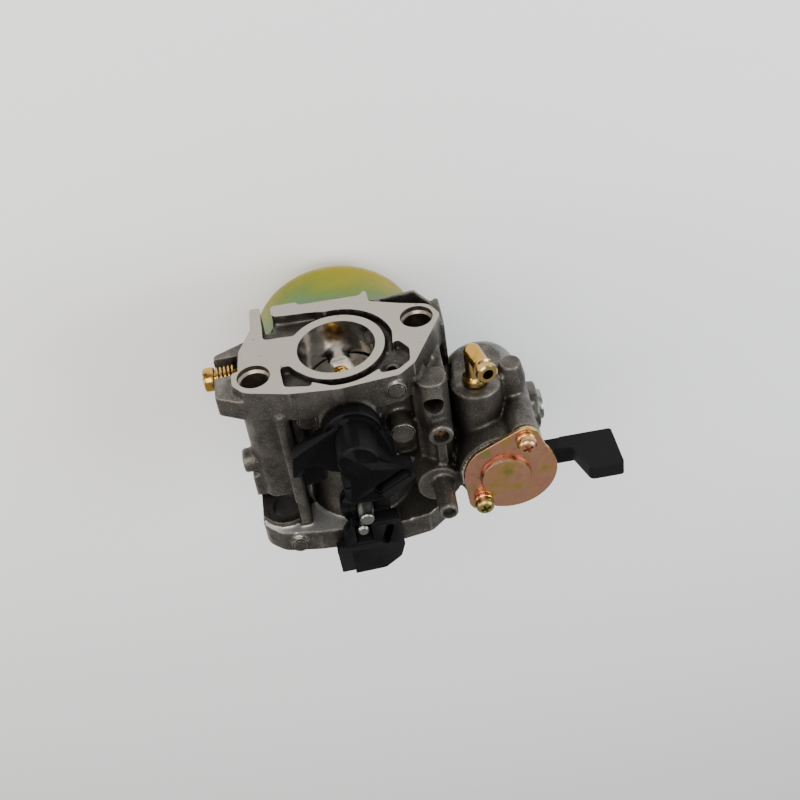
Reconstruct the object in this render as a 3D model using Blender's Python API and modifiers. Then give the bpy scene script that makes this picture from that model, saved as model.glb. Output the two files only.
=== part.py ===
"""Small-engine butterfly carburetor with a float bowl, a choke, and a fuel tap with its sediment cup.

Frame: metres, +Z up. The origin is the centre of the bore on the engine flange's face. +Y points out of
that face, towards the engine, +Z towards the levers on top, and +X towards the fuel tap. The float bowl
hangs under the body.
The dimensions below are in millimetres, and MM turns them into metres.
"""

import math

import bmesh
import bpy
from mathutils import Matrix, Vector

MM = 0.001
GAP = 0.3  # clearance between pieces that touch

# ---- driving dimensions, mm -------------------------------------------------
STUD_SPACING = 42.0  # centre to centre of the two M6 stud holes
STUD_TILT = math.radians(16.0)  # the stud line falls towards the fuel tap
STUD_HOLE_R = 3.5
STUD_SEAT_R = 4.0
BODY_LENGTH = 52.5  # engine face to air cleaner face, along Y
ENGINE_FLANGE = 8.5
CLEANER_FLANGE = 6.5

THROTTLE_BORE_R = 9.4
THROAT_R = 7.2
CHOKE_BORE_R = 11.0
BORE_WALL_R = 13.0

THROTTLE_Y = -11.5
NOZZLE_Y = -25.0
CHOKE_Y = -38.0
SHAFT_R = 2.5
CHOKE_SHAFT_R = 2.0
PLATE_T = 1.0
PLATE_GAP = 0.3
THROTTLE_IDLE = math.radians(8.0)

BOWL_Y = -25.0
BOWL_R = 21.8
BOWL_WALL = 1.0
BOWL_TOP = -21.1
BOWL_BOTTOM = -40.0
DECK_TOP = -15.6
DECK_BOTTOM = -20.4
POST_R = 5.2
POST_END = -36.5

FLOAT_PIN_X = 13.5
FLOAT_PIN_Z = -23.0
FLOAT_DROP = math.radians(-5.0)  # a dry float hangs on its lower stop
NEEDLE_DROP = -0.3665
NEEDLE_X = 9.3

TAP_X = 35.0
TAP_Y = -32.4
TAP_R = 11.0
TAP_FLOOR = 11.6
TAP_RIM = 18.6
TAP_WELL_R = 6.4
TAP_HUB_R = 5.9
COVER_T = 1.2
COVER_RISE = 1.5
COVER_SCREWS = ((40.5, -21.9), (29.0, -39.8))

CUP_R = 9.8
CUP_TOP = -7.0
CUP_BOTTOM = -21.0

PILOT_Y = -5.6
PILOT_Z = -2.6
PILOT_HEAD_X = -32.8

STUDS = tuple(
    (side * STUD_SPACING / 2 * math.cos(STUD_TILT), -side * STUD_SPACING / 2 * math.sin(STUD_TILT))
    for side in (-1, 1)
)

AXES = {
    "X": Matrix.Rotation(math.radians(90), 4, "Y"),
    "Y": Matrix.Rotation(math.radians(-90), 4, "X"),
    "Z": Matrix.Identity(4),
}


# ---- scene and materials ----------------------------------------------------
def clear_scene():
    for obj in list(bpy.data.objects):
        bpy.data.objects.remove(obj)


def collection(name):
    made = bpy.data.collections.new(name)
    bpy.context.scene.collection.children.link(made)
    return made


def material(name, colour, roughness, metallic):
    made = bpy.data.materials.new(name)
    made.use_nodes = True
    shader = made.node_tree.nodes["Principled BSDF"]
    shader.inputs["Base Color"].default_value = (*colour, 1.0)
    shader.inputs["Roughness"].default_value = roughness
    shader.inputs["Metallic"].default_value = metallic
    return made


def make_materials():
    return {
        "cast_aluminium": material("cast_aluminium", (0.30, 0.28, 0.26), 0.5, 1.0),
        "zinc_yellow": material("zinc_yellow", (0.62, 0.50, 0.22), 0.3, 1.0),
        "zinc_clear": material("zinc_clear", (0.50, 0.53, 0.48), 0.35, 1.0),
        "steel": material("steel", (0.45, 0.45, 0.46), 0.35, 1.0),
        "brass": material("brass", (0.70, 0.50, 0.20), 0.3, 1.0),
        "black_plastic": material("black_plastic", (0.012, 0.012, 0.013), 0.4, 0.0),
        "rubber": material("rubber", (0.02, 0.02, 0.02), 0.8, 0.0),
    }


# ---- shape helpers, all in mm -----------------------------------------------
def to_object(name, bm):
    """A mesh object from a bmesh drawn in mm, with its normals facing out."""
    bmesh.ops.recalc_face_normals(bm, faces=bm.faces)
    bmesh.ops.scale(bm, vec=(MM, MM, MM), verts=bm.verts)
    mesh = bpy.data.meshes.new(name)
    bm.to_mesh(mesh)
    bm.free()
    obj = bpy.data.objects.new(name, mesh)
    bpy.context.scene.collection.objects.link(obj)
    return obj


def box(low, high, name="box"):
    bm = bmesh.new()
    size = [h - l for l, h in zip(low, high)]
    centre = [(h + l) / 2 for l, h in zip(low, high)]
    bmesh.ops.create_cube(bm, size=1.0, matrix=Matrix.Translation(centre) @ Matrix.Diagonal((*size, 1.0)))
    return to_object(name, bm)


def rod(start, end, radius, end_radius=None, sides=32, name="rod"):
    """A cylinder, or a cone where end_radius is given, between two points."""
    start, end = Vector(start), Vector(end)
    run = end - start
    turn = Vector((0, 0, 1)).rotation_difference(run).to_matrix().to_4x4()
    bm = bmesh.new()
    bmesh.ops.create_cone(
        bm,
        cap_ends=True,
        segments=sides,
        radius1=radius,
        radius2=radius if end_radius is None else end_radius,
        depth=run.length,
        matrix=Matrix.Translation((start + end) / 2) @ turn,
    )
    return to_object(name, bm)


def evaluated_mesh(obj):
    graph = bpy.context.evaluated_depsgraph_get()
    return bpy.data.meshes.new_from_object(obj.evaluated_get(graph))


def turned(profile, centre, axis="Z", steps=32, name="turned"):
    """A solid of revolution: a profile of (radius, height), from axis to axis or as a closed ring."""
    ring = profile[0][0] > 0 and profile[-1][0] > 0
    mesh = bpy.data.meshes.new(name)
    points = [(r * MM, 0.0, h * MM) for r, h in profile]
    edges = [(i, i + 1) for i in range(len(points) - 1)]
    if ring:
        edges.append((len(points) - 1, 0))
    mesh.from_pydata(points, edges, [])
    obj = bpy.data.objects.new(name, mesh)
    bpy.context.scene.collection.objects.link(obj)
    screw = obj.modifiers.new("Turn", "SCREW")
    screw.steps = screw.render_steps = steps
    screw.use_merge_vertices = True
    screw.merge_threshold = 0.00001
    obj.data = evaluated_mesh(obj)
    obj.modifiers.clear()
    obj.data.transform(Matrix.Translation(Vector(centre) * MM) @ AXES[axis])
    bm = bmesh.new()
    bm.from_mesh(obj.data)
    bmesh.ops.remove_doubles(bm, verts=bm.verts, dist=0.000005)
    bmesh.ops.recalc_face_normals(bm, faces=bm.faces)
    bm.to_mesh(obj.data)
    bm.free()
    return obj


def rounded(corners, radius, steps=4):
    """The outline with its corners made arcs. A corner may carry its own radius as a third number."""
    outline = []
    count = len(corners)
    for i in range(count):
        here = Vector(corners[i][:2])
        before = Vector(corners[i - 1][:2]) - here
        after = Vector(corners[(i + 1) % count][:2]) - here
        size = corners[i][2] if len(corners[i]) > 2 else radius
        half = before.angle(after) / 2
        reach = min(size / math.tan(half), 0.49 * before.length, 0.49 * after.length)
        if size <= 0 or math.degrees(half) > 87:
            outline.append(tuple(here))
            continue
        start = here + before.normalized() * reach
        end = here + after.normalized() * reach
        for k in range(steps + 1):
            t = k / steps
            outline.append(tuple((1 - t) ** 2 * start + 2 * t * (1 - t) * here + t**2 * end))
    return outline


def arc(centre, radius, first, last, steps):
    """Points on an arc, from one angle to another in degrees."""
    angles = [math.radians(first + (last - first) * k / steps) for k in range(steps + 1)]
    return [(centre[0] + radius * math.cos(a), centre[1] + radius * math.sin(a)) for a in angles]


def slab(outline, low, high, axis="Z", name="slab"):
    """An outline made solid between two heights. Along Y it is (x, z), and along Z it is (x, y)."""
    curve = bpy.data.curves.new(name, "CURVE")
    curve.dimensions = "2D"
    curve.fill_mode = "BOTH"
    curve.extrude = (high - low) / 2 * MM
    spline = curve.splines.new("POLY")
    spline.points.add(len(outline) - 1)
    for point, (u, v) in zip(spline.points, outline):
        point.co = (u * MM, v * MM, 0.0, 1.0)
    spline.use_cyclic_u = True
    flat = bpy.data.objects.new(name, curve)
    bpy.context.scene.collection.objects.link(flat)
    middle = (low + high) / 2 * MM
    place = Matrix.Translation((0, 0, middle))
    if axis == "Y":
        place = Matrix.Translation((0, middle, 0)) @ Matrix.Rotation(math.radians(90), 4, "X")
    mesh = evaluated_mesh(flat)
    bpy.data.objects.remove(flat)
    mesh.transform(place)
    bm = bmesh.new()
    bm.from_mesh(mesh)
    bmesh.ops.remove_doubles(bm, verts=bm.verts, dist=0.000001)
    bmesh.ops.recalc_face_normals(bm, faces=bm.faces)
    bm.to_mesh(mesh)
    bm.free()
    obj = bpy.data.objects.new(name, mesh)
    bpy.context.scene.collection.objects.link(obj)
    return obj


def boolean(target, tools, operation):
    """Adds the tools to the target, or cuts them from it, and removes them."""
    group = bpy.data.collections.new("tools")
    bpy.context.scene.collection.children.link(group)
    for tool in tools:
        group.objects.link(tool)
    modifier = target.modifiers.new(operation.title(), "BOOLEAN")
    modifier.operation = operation
    modifier.solver = "EXACT"
    modifier.operand_type = "COLLECTION"
    modifier.collection = group
    target.data = evaluated_mesh(target)
    target.modifiers.clear()
    for tool in tools:
        bpy.data.objects.remove(tool)
    bpy.data.collections.remove(group)
    return target


def union(target, *tools):
    return boolean(target, tools, "UNION")


def cut(target, *tools):
    return boolean(target, tools, "DIFFERENCE")


def bevel(obj, width, angle=40, segments=1):
    modifier = obj.modifiers.new("Edge", "BEVEL")
    modifier.width = width * MM
    modifier.segments = segments
    modifier.limit_method = "ANGLE"
    modifier.angle_limit = math.radians(angle)
    obj.data = evaluated_mesh(obj)
    obj.modifiers.clear()
    return obj


def turn_about(obj, point, axis, angle):
    """Turns a piece's mesh about an axis through a point in mm."""
    centre = Vector(point) * MM
    obj.data.transform(
        Matrix.Translation(centre) @ Matrix.Rotation(angle, 4, axis) @ Matrix.Translation(-centre)
    )
    return obj


# ---- main casting -----------------------------------------------------------
def engine_flange():
    """The flange that bolts to the engine, with its cast pocket around the outlet."""
    outline = rounded(
        [
            (-20.0, -19.8, 0.4), (-17.3, -19.8, 0.4), (-17.3, -13.0, 0.0), (-14.8, -13.0, 0.0),
            (-14.8, -19.6, 0.8), (-8.2, -19.6, 0.6), (-7.8, -18.3, 0.4), (8.0, -17.9, 0.3),
            (8.1, -19.3, 0.3), (9.3, -19.3, 0.3), (9.5, -15.0, 0.8), (16.8, -12.1, 3.0),
            (23.7, -9.9, 3.5), (26.0, -5.4, 2.5), (17.6, 10.6, 2.0), (13.6, 14.0, 3.0),
            (-1.0, 15.3, 8.0), (-12.5, 14.0, 3.0), (-22.8, 11.0, 4.0), (-25.4, 7.7, 2.5),
            (-25.4, 3.4, 0.8), (-23.6, 3.0, 0.5), (-23.4, -4.0, 1.5), (-21.4, -8.6, 2.0),
            (-20.1, -12.0, 1.5),
        ],
        1.0,
        steps=2,
    )
    return slab(outline, -ENGINE_FLANGE, 0, "Y", "body_casting")


def flange_pocket():
    """The shallow pocket that leaves a raised ring around the outlet, open at the top left."""
    depth = 2.4
    ring_r = 11.7
    outer_r = 13.9
    over = arc((0, 0), outer_r, -95, -8, 8)
    lobe = [(14.2, 0.5), (16.9, 5.4), (16.4, 9.6), (13.6, 11.9)]
    under = arc((0, 0), outer_r, 58, 100, 4)
    left = [(-5.9, 12.9), (-13.2, 11.4), (-13.9, 4.4), (-11.6, 4.0), (-9.4, 7.0)]
    ring = arc((0, 0), ring_r, 140, -146, 20)
    top = [(-14.0, -6.9), (-17.2, -6.9), (-17.2, -14.0), (-14.7, -14.0), (-14.7, -15.3)]
    outline = over + lobe + under + left + ring + top
    return slab(outline, -depth, 1.0, "Y", "flange_pocket")


def pilot_screw_blocks():
    """The cast block at the flange's left end that holds the pilot screw."""
    outline = rounded(
        [(-30.1, 7.6, 0.8), (-24.0, 10.8, 1.0), (-16.0, 12.0, 0.0), (-16.0, -12.0, 0.0),
         (-22.0, -12.0, 1.0), (-30.0, -8.3, 0.8)],
        0.8,
        steps=2,
    )
    return slab(outline, -ENGINE_FLANGE - 0.4, -3.0, "Y", "pilot_screw_blocks")


def cleaner_flange():
    """The flange on the air cleaner side."""
    outline = rounded(
        [
            (-26.0, 2.0, 2.0), (-25.6, 8.6, 3.0), (-21.6, 13.6, 3.0), (-14.0, 16.0, 3.0),
            (8.5, 16.6, 2.0), (15.5, 15.2, 2.5), (20.6, 11.5, 3.0), (25.6, -1.5, 3.0),
            (25.6, -9.6, 3.0), (19.0, -14.5, 3.0), (-14.0, -15.5, 3.0), (-22.0, -9.0, 3.0),
        ],
        2.0,
        steps=2,
    )
    return slab(outline, -BODY_LENGTH, -BODY_LENGTH + CLEANER_FLANGE, "Y", "cleaner_flange")


def tap_housing():
    """The fuel tap's housing: valve chamber, inlet boss, screw ears, and the seat of the sediment cup."""
    (ear_x, ear_y), (low_x, low_y) = COVER_SCREWS
    return [
        rod((TAP_X, TAP_Y, CUP_TOP + 0.6), (TAP_X, TAP_Y, TAP_RIM), TAP_R, sides=32),
        rod((ear_x, ear_y, -3.0), (ear_x, ear_y, TAP_RIM), 3.6, sides=20),
        box((ear_x - 8.0, ear_y - 8.0, -3.2), (ear_x + 3.4, ear_y + 0.4, 10.6)),
        rod((low_x, low_y, 2.0), (low_x, low_y, TAP_RIM), 3.4, sides=20),
        rod((31.4, -12.5, 6.9), (31.4, -27.0, 6.9), 6.2, sides=28),
        rod((33.0, -12.5, -0.9), (33.0, -22.0, -0.9), 6.3, sides=28),
        slab([(25.3, 7.4), (26.9, -2.6), (39.1, 0.0), (37.5, 7.8)], -27.0, -12.5, "Y"),
        turned(
            [(0.0, -10.0), (2.4, -10.0), (3.5, -14.5), (3.5, -31.2), (0.0, -31.2)], (40.3, 0, 4.9), "Y", 16
        ),
        rod((42.5, -29.5, 0.6), (46.9, -29.5, 0.6), 6.1, sides=24),
        box((20.0, -40.0, -6.0), (30.0, -25.0, 9.0)),
    ]


def casting_lumps():
    """Everything that is added to the engine flange to make the raw casting."""
    (left_x, left_z), (right_x, right_z) = STUDS
    inner_cleaner = -BODY_LENGTH + CLEANER_FLANGE
    return [
        rod((0, -1.0 - ENGINE_FLANGE + 2, 0), (0, inner_cleaner - 2, 0), BORE_WALL_R, sides=40),
        pilot_screw_blocks(),
        cleaner_flange(),
        # stud tunnels and pads
        box((left_x - 4.0, -36.0, 1.4), (left_x + 4.1, -7.0, 10.1)),
        box((left_x + 4.0, -30.0, 2.0), (-10.0, -7.0, 7.0)),
        rod((left_x, -44.5, left_z), (left_x, -48.0, left_z), 5.3, sides=24),
        rod((-15.4, -7.0, 12.2), (-15.4, -47.0, 12.2), 1.7, sides=14),
        box((-17.0, -47.0, 4.0), (-13.9, -7.0, 12.2)),
        box((right_x - 4.6, -36.0, right_z - 4.4), (right_x + 4.2, -7.0, 12.0)),
        rod((right_x, -44.5, right_z), (right_x, -48.0, right_z), 5.3, sides=24),
        # column over the right stud, with the pilot jet's boss and the tall boss that ends in a peg
        rod((20.6, -7.0, 12.0), (20.6, -37.0, 12.0), 3.9, sides=24),
        box((10.0, -40.0, -8.0), (18.0, -7.0, 8.0)),
        rod((20.9, -18.5, 8.0), (20.9, -18.5, 17.6), 3.2, sides=20),
        rod((18.9, -34.2, 0.0), (18.9, -34.2, 17.8), 5.5, sides=32),
        rod((19.7, -33.4, 12.0), (19.7, -33.4, 28.6), 2.4, sides=20),
        # shaft bosses
        rod((0, THROTTLE_Y, 5.0), (0, THROTTLE_Y, 15.4), 7.0, sides=36),
        rod((0, CHOKE_Y, 5.0), (0, CHOKE_Y, 13.4), 5.0, sides=28),
        # ejector and core marks
        rod((12.1, -18.1, 0.0), (12.1, -18.1, 15.0), 3.2, sides=20),
        rod((12.3, -4.2, 10.0), (12.3, -4.2, 14.9), 2.3, sides=16),
        rod((-9.9, -10.8, 3.0), (-9.9, -10.8, 13.0), 2.4, sides=16),
        rod((-18.0, -49.6, 10.0), (-18.0, -49.6, 15.6), 2.3, sides=16),
        rod((-27.6, -32.0, 5.0), (-20.0, -32.0, 5.0), 2.9, sides=18),
        # float chamber roof and its central post
        rod((0, BOWL_Y, DECK_BOTTOM), (0, BOWL_Y, DECK_TOP), 22.6, sides=44),
        rod((0, BOWL_Y, DECK_TOP - 1), (0, BOWL_Y, -3.0), 16.0, sides=28),
        rod((0, NOZZLE_Y, POST_END), (0, NOZZLE_Y, -6.0), POST_R, sides=28),
        rod((NEEDLE_X, BOWL_Y, -21.6), (NEEDLE_X, BOWL_Y, -16.0), 3.4, sides=18),
        # webs behind the engine flange
        slab(pocket_outline(0.0), -20.0, -2.6, "Y"),
        box((25.1, -19.0, -15.0), (26.6, -2.4, -4.4)),
        box((-20.0, -20.0, -12.5), (20.0, -5.0, -8.0)),
        box((-14.0, -50.0, -14.6), (14.0, -39.5, -7.6)),
    ] + float_pin_posts() + tap_housing()


def pocket_outline(inset):
    """The cored pocket beside the outlet, under the right stud, as (x, z)."""
    return [
        (
            10.4 + inset, -18.9 + 0.6 * inset
        ), (21.2 - 0.4 * inset, -20.2 + inset), (25.4 - inset, -13.0 + 0.5 * inset),
        (24.4 - inset, -8.0 - 0.5 * inset), (17.0, -11.0 - 0.6 * inset),
    ]


def float_pin_posts():
    """The two cast posts that carry the float's pin."""
    return [
        box((FLOAT_PIN_X - 1.6, y - 1.1, FLOAT_PIN_Z - 1.9), (FLOAT_PIN_X + 1.6, y + 1.1, DECK_BOTTOM + 1))
        for y in (BOWL_Y - 7.5, BOWL_Y + 7.5)
    ]


def bore_cutter():
    """Throttle bore, venturi and choke bore as one turned shape along Y."""
    throat = -NOZZLE_Y
    profile = [
        (0.0, 1.0), (THROTTLE_BORE_R, 1.0), (THROTTLE_BORE_R, -20.9), (7.7, -23.0),
        (THROAT_R, -throat), (7.8, -26.4), (CHOKE_BORE_R, -27.1),
        (CHOKE_BORE_R, -BODY_LENGTH - 1.0), (0.0, -BODY_LENGTH - 1.0),
    ]
    return turned(profile, (0, 0, 0), "Y", 40, "bore_cutter")


def tap_cutters():
    """Valve well, lever window, cup seat, screw holes and the fuel drillings in the tap's housing."""
    window = [(TAP_X, TAP_Y)] + arc((TAP_X, TAP_Y), 20.0, -115, 27, 8)
    holes = [rod((x, y, 8.0), (x, y, 25.0), 1.35, sides=12) for x, y in COVER_SCREWS]
    return holes + [
        rod((TAP_X, TAP_Y, TAP_FLOOR), (TAP_X, TAP_Y, 25.0), TAP_WELL_R, sides=28),
        slab(window, TAP_FLOOR + 0.6, 25.0, "Z", "lever_window"),
        rod((TAP_X, TAP_Y, -8.0), (TAP_X, TAP_Y, 2.4), 7.6, sides=24),
        rod((TAP_X - 2.6, TAP_Y + 2.2, 1.0), (TAP_X - 2.6, TAP_Y + 2.2, 14.0), 1.2, sides=12),
        rod((31.4, -10.0, 6.9), (31.4, -29.4, 6.9), 1.8, sides=16),
        rod((31.4, -27.9, 8.5), (31.4, -27.9, 0.0), 1.2, sides=12),
    ]


def casting_cutters():
    """Everything that is machined or cored out of the casting."""
    holes = []
    for x, z in STUDS:
        holes.append(rod((x, 1.0, z), (x, -BODY_LENGTH - 1.0, z), STUD_HOLE_R, sides=20))
        holes.append(rod((x, 1.0, z), (x, -1.4, z), STUD_SEAT_R, sides=20))
    return holes + tap_cutters() + [
        bore_cutter(),
        flange_pocket(),
        slab(pocket_outline(0.9), -14.0, -1.0, "Y"),
        box((-31.0, -12.0, -6.4), (-24.2, 1.0, 0.4)),
        rod((-25.0, PILOT_Y, PILOT_Z), (-14.6, PILOT_Y, PILOT_Z), 2.1, sides=18),
        rod((-15.0, PILOT_Y, PILOT_Z), (-10.9, PILOT_Y, PILOT_Z), 1.5, sides=14),
        rod((-11.5, PILOT_Y, PILOT_Z), (-5.0, PILOT_Y, PILOT_Z), 0.6, sides=10),
        rod((12.0, 0.0, 10.1), (12.0, -5.5, 10.1), 1.3, sides=14),
        rod((20.3, -10.9, 6.0), (20.3, -10.9, 20.0), 2.4, sides=20),
        # shaft bores
        rod((0, THROTTLE_Y, -11.8), (0, THROTTLE_Y, 17.0), SHAFT_R + 0.06, sides=24),
        rod((0, CHOKE_Y, -11.8), (0, CHOKE_Y, 15.0), CHOKE_SHAFT_R + 0.06, sides=20),
        rod((0, THROTTLE_Y, 13.6), (0, THROTTLE_Y, 17.0), 4.2, sides=24),
        # jet wells
        rod((0, NOZZLE_Y, -40.0), (0, NOZZLE_Y, -17.0), 2.55, sides=20),
        rod((0, NOZZLE_Y, -20.0), (0, NOZZLE_Y, 0.0), 2.1, sides=18),
        rod((20.9, -18.5, 9.0), (20.9, -18.5, 20.0), 1.75, sides=16),
        rod((NEEDLE_X, BOWL_Y, -24.0), (NEEDLE_X, BOWL_Y, -16.2), 2.2, sides=16),
        # dimple in the end of the peg
        rod((19.7, -33.4, 27.2), (19.7, -33.4, 30.0), 1.5, sides=16),
        # seal groove in the float chamber roof and the float pin's bores
        turned([(20.9, -18.0), (20.9, -23.0), (19.0, -23.0), (19.0, -18.0)], (0, BOWL_Y, 0), "Z", 36),
        rod(
            (FLOAT_PIN_X, BOWL_Y - 10, FLOAT_PIN_Z), (FLOAT_PIN_X, BOWL_Y + 10, FLOAT_PIN_Z), 0.85, sides=12
        ),
    ]


def body_casting():
    body = union(engine_flange(), *casting_lumps())
    return cut(body, *casting_cutters())


# ---- throttle ---------------------------------------------------------------
def throttle_shaft():
    shaft = rod((0, THROTTLE_Y, -11.4), (0, THROTTLE_Y, 27.6), SHAFT_R, sides=24, name="throttle_shaft")
    flat = box(
        (-4.0, THROTTLE_Y + 0.0, -THROTTLE_BORE_R + 0.2), (4.0, THROTTLE_Y + 4.0, THROTTLE_BORE_R - 0.2)
    )
    hole = rod((0, THROTTLE_Y - 4, 0), (0, THROTTLE_Y + 4, 0), 1.3, sides=12)
    return turn_about(cut(shaft, flat, hole), (0, THROTTLE_Y, 0), "Z", THROTTLE_IDLE)


def throttle_plate():
    radius = THROTTLE_BORE_R - PLATE_GAP
    low = THROTTLE_Y + GAP / 3
    plate = rod((0, low, 0), (0, low + PLATE_T, 0), radius, sides=44, name="throttle_plate")
    hole = rod((0, low - 1, 0), (0, low + 3, 0), 1.6, sides=12)
    return turn_about(cut(plate, hole), (0, THROTTLE_Y, 0), "Z", THROTTLE_IDLE)


def plate_screw(name, y, z, shank):
    """A pan-head screw along Y that holds a butterfly plate on its shaft."""
    head = turned(
        [(0.0, 1.7), (1.6, 1.6), (2.3, 1.0), (2.4, 0.1), (1.15, 0.1), (1.15, -shank), (0.0, -shank)],
        (0, y, z), "Y", 18, name,
    )
    slots = [
        box((-1.5, y + 0.9, z - 0.28), (1.5, y + 3, z + 0.28)),
        box((-0.28, y + 0.9, z - 1.5), (0.28, y + 3, z + 1.5)),
    ]
    return cut(head, *slots)


def throttle_plate_screw():
    screw = plate_screw("throttle_plate_screw", THROTTLE_Y + GAP / 3 + PLATE_T + 0.1, 0.0, 3.0)
    return turn_about(screw, (0, THROTTLE_Y, 0), "Z", THROTTLE_IDLE)


def throttle_lever():
    """The moulded lever on the throttle shaft: hub, hooked stop arm, and slotted arm for the governor rod."""
    y = THROTTLE_Y
    disc = rod((0.4, y, 16.0), (0.4, y, 19.4), 7.0, sides=36, name="throttle_lever")
    hub = rod((0.8, y, 19.0), (0.8, y, 28.6), 5.0, sides=28)
    stop_arm = slab(
        rounded(
            [(2.0, y + 1.0), (-3.0, y + 4.4), (-14.4, y - 3.2), (-15.4, y - 9.2), (-13.2, y - 9.6),
             (-12.6, y - 6.8), (-9.0, y - 6.6), (-6.4, y - 9.2), (-2.5, y - 10.5), (3.0, y - 8.0)],
            0.6,
            steps=2,
        ),
        16.4, 20.4, "Z",
    )
    web = slab(
        rounded(
            [
                (-3.4, y + 1.0), (5.4, y + 1.5), (9.6, y - 3.2), (8.0, y - 9.0), (-2.4, y - 11.0),
                (-3.6, y - 4.0),
            ],
            1.0,
            steps=2,
        ),
        19.0, 25.2, "Z",
    )
    rod_arm = slab(
        rounded(
            [(-4.0, y - 1.0), (6.0, y + 1.4), (8.4, y - 2.4), (12.8, y - 4.2), (12.6, y - 8.6),
             (5.8, y - 13.9), (-2.4, y - 13.3), (-3.8, y - 11.2)],
            0.8,
            steps=2,
        ),
        25.0, 28.2, "Z",
    )
    lever = union(disc, hub, stop_arm, web, rod_arm)
    slot = slab(slot_outline((7.5, y - 8.1), 9.2, 2.4, math.radians(32)), 24.0, 30.0, "Z")
    undercut = box((-20.0, y - 20.0, 15.0), (-15.9, y, 17.0))
    bore = rod((0, y, 14.0), (0, y, 27.9), SHAFT_R + 0.3, sides=24)
    return cut(lever, slot, undercut, bore)


def slot_outline(centre, length, width, angle):
    """A slot with round ends, by its middle, overall length and width."""
    reach = (length - width) / 2
    ends = [Vector((reach, 0)), Vector((-reach, 0))]
    outline = arc(ends[0], width / 2, -90, 90, 6) + arc(ends[1], width / 2, 90, 270, 6)
    turn = Matrix.Rotation(angle, 2)
    return [tuple(turn @ Vector(p) + Vector(centre)) for p in outline]


def throttle_seal():
    return turned(
        [(4.0, 15.8), (4.0, 13.9), (SHAFT_R + 0.3, 13.9), (SHAFT_R + 0.3, 15.8)],
        (0, THROTTLE_Y, 0),
        "Z",
        24,
        "throttle_shaft_seal",
    )


# ---- choke ------------------------------------------------------------------
def choke_shaft():
    """The choke's shaft, with the bent arm on top whose round end drives the lever."""
    shaft = rod((0, CHOKE_Y, -11.4), (0, CHOKE_Y, 19.6), CHOKE_SHAFT_R, sides=20, name="choke_shaft")
    arm = slab(
        rounded(
            [(-1.3, CHOKE_Y + 0.5), (0.7, CHOKE_Y + 0.5), (-0.5, CHOKE_Y - 5.6), (-2.7, CHOKE_Y - 5.6)],
            0.8,
            steps=2,
        ),
        17.6,
        19.2,
        "Z",
    )
    knob = rod((-1.5, CHOKE_Y - 4.9, 17.5), (-1.5, CHOKE_Y - 4.9, 20.2), 1.5, sides=16)
    whole = union(shaft, arm, knob)
    flat = box((0.0, CHOKE_Y - 4.0, -CHOKE_BORE_R + 0.2), (4.0, CHOKE_Y + 4.0, CHOKE_BORE_R - 0.2))
    return cut(whole, flat)


def choke_plate():
    """The choke's disc, which stands edge-on in the air flow while the choke is open."""
    radius = CHOKE_BORE_R - PLATE_GAP
    low = GAP / 3
    plate = rod((low, CHOKE_Y, 0), (low + PLATE_T, CHOKE_Y, 0), radius, sides=44, name="choke_plate")
    vent = rod((-2, CHOKE_Y + 5.5, 0), (4, CHOKE_Y + 5.5, 0), 1.6, sides=12)
    holes = [rod((-2, CHOKE_Y, z), (4, CHOKE_Y, z), 1.5, sides=12) for z in (-4.0, 4.0)]
    return cut(plate, vent, *holes)


def choke_plate_screw(name, z):
    base = GAP / 3 + PLATE_T + 0.1
    return turned(
        [
            (0.0, 1.3), (1.4, 1.2), (2.0, 0.7), (2.0, 0.1), (1.1, 0.1), (1.1, -base + 0.3),
            (0.0, -base + 0.3),
        ],
        (base, CHOKE_Y, z), "X", 16, name,
    )


def choke_lever():
    """The choke lever: a hub round the shaft, and a slotted plate whose notch takes the shaft's arm."""
    low, high = 17.0, 20.7
    plate = slab(
        rounded(
            [
                (
                    0.5, -40.4, 0.4
                ), (8.1, -39.9, 0.6), (7.9, -50.0, 2.0), (6.7, -53.8, 2.0), (2.2, -57.4, 2.0),
                (
                    -8.8, -57.9, 0.5
                ), (-9.0, -49.0, 0.4), (-6.4, -47.6, 0.4), (-6.6, -43.8, 1.5), (-4.6, -41.2, 1.5),
                (-3.5, -40.6, 0.3), (-3.5, -46.4, 0.4), (0.5, -46.4, 0.4),
            ],
            1.0,
            steps=3,
        ),
        low, high, "Z", "choke_lever",
    )
    hub = rod((0, CHOKE_Y, 13.8), (0, CHOKE_Y, low + 0.1), 6.2, sides=32)
    nose = slab([(0.6, -44.7), (0.6, -40.7), (6.2, -40.5), (6.2, -42.2)], 14.2, low + 0.3, "Z")
    lever = union(plate, hub, nose)
    bore = rod((0, CHOKE_Y, 12.0), (0, CHOKE_Y, 19.0), CHOKE_SHAFT_R + 0.3, sides=20)
    slot = slab(slot_outline((4.3, -44.5), 7.0, 2.0, math.radians(72)), 15.0, 24.0, "Z")
    step = box((-10.0, -60.0, high - 1.3), (-4.9, -48.9, high + 1.0))
    return cut(lever, bore, slot, step)


# ---- fuel tap ---------------------------------------------------------------
def fuel_valve_lever():
    """The tap's lever: a hub in the well under the cover, an arm, and an upright thumb paddle."""
    hub = rod(
        (TAP_X, TAP_Y, TAP_FLOOR + 1.5),
        (TAP_X, TAP_Y, TAP_RIM - 1.2),
        TAP_HUB_R,
        sides=32,
        name="fuel_valve_lever",
    )
    arm = box((TAP_X, TAP_Y - 2.4, 13.4), (54.5, TAP_Y + 2.6, 17.2))
    paddle = slab(
        rounded(
            [
                (50.0, 13.2, 0.3), (62.6, 13.2, 0.8), (63.0, 25.8, 1.2), (54.8, 25.8, 1.6),
                (51.6, 17.4, 0.8), (49.0, 17.4, 0.3),
            ],
            0.8,
            steps=3,
        ),
        -33.4, -29.7, "Y",
    )
    return bevel(union(hub, arm, paddle), 0.35, angle=50)


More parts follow.
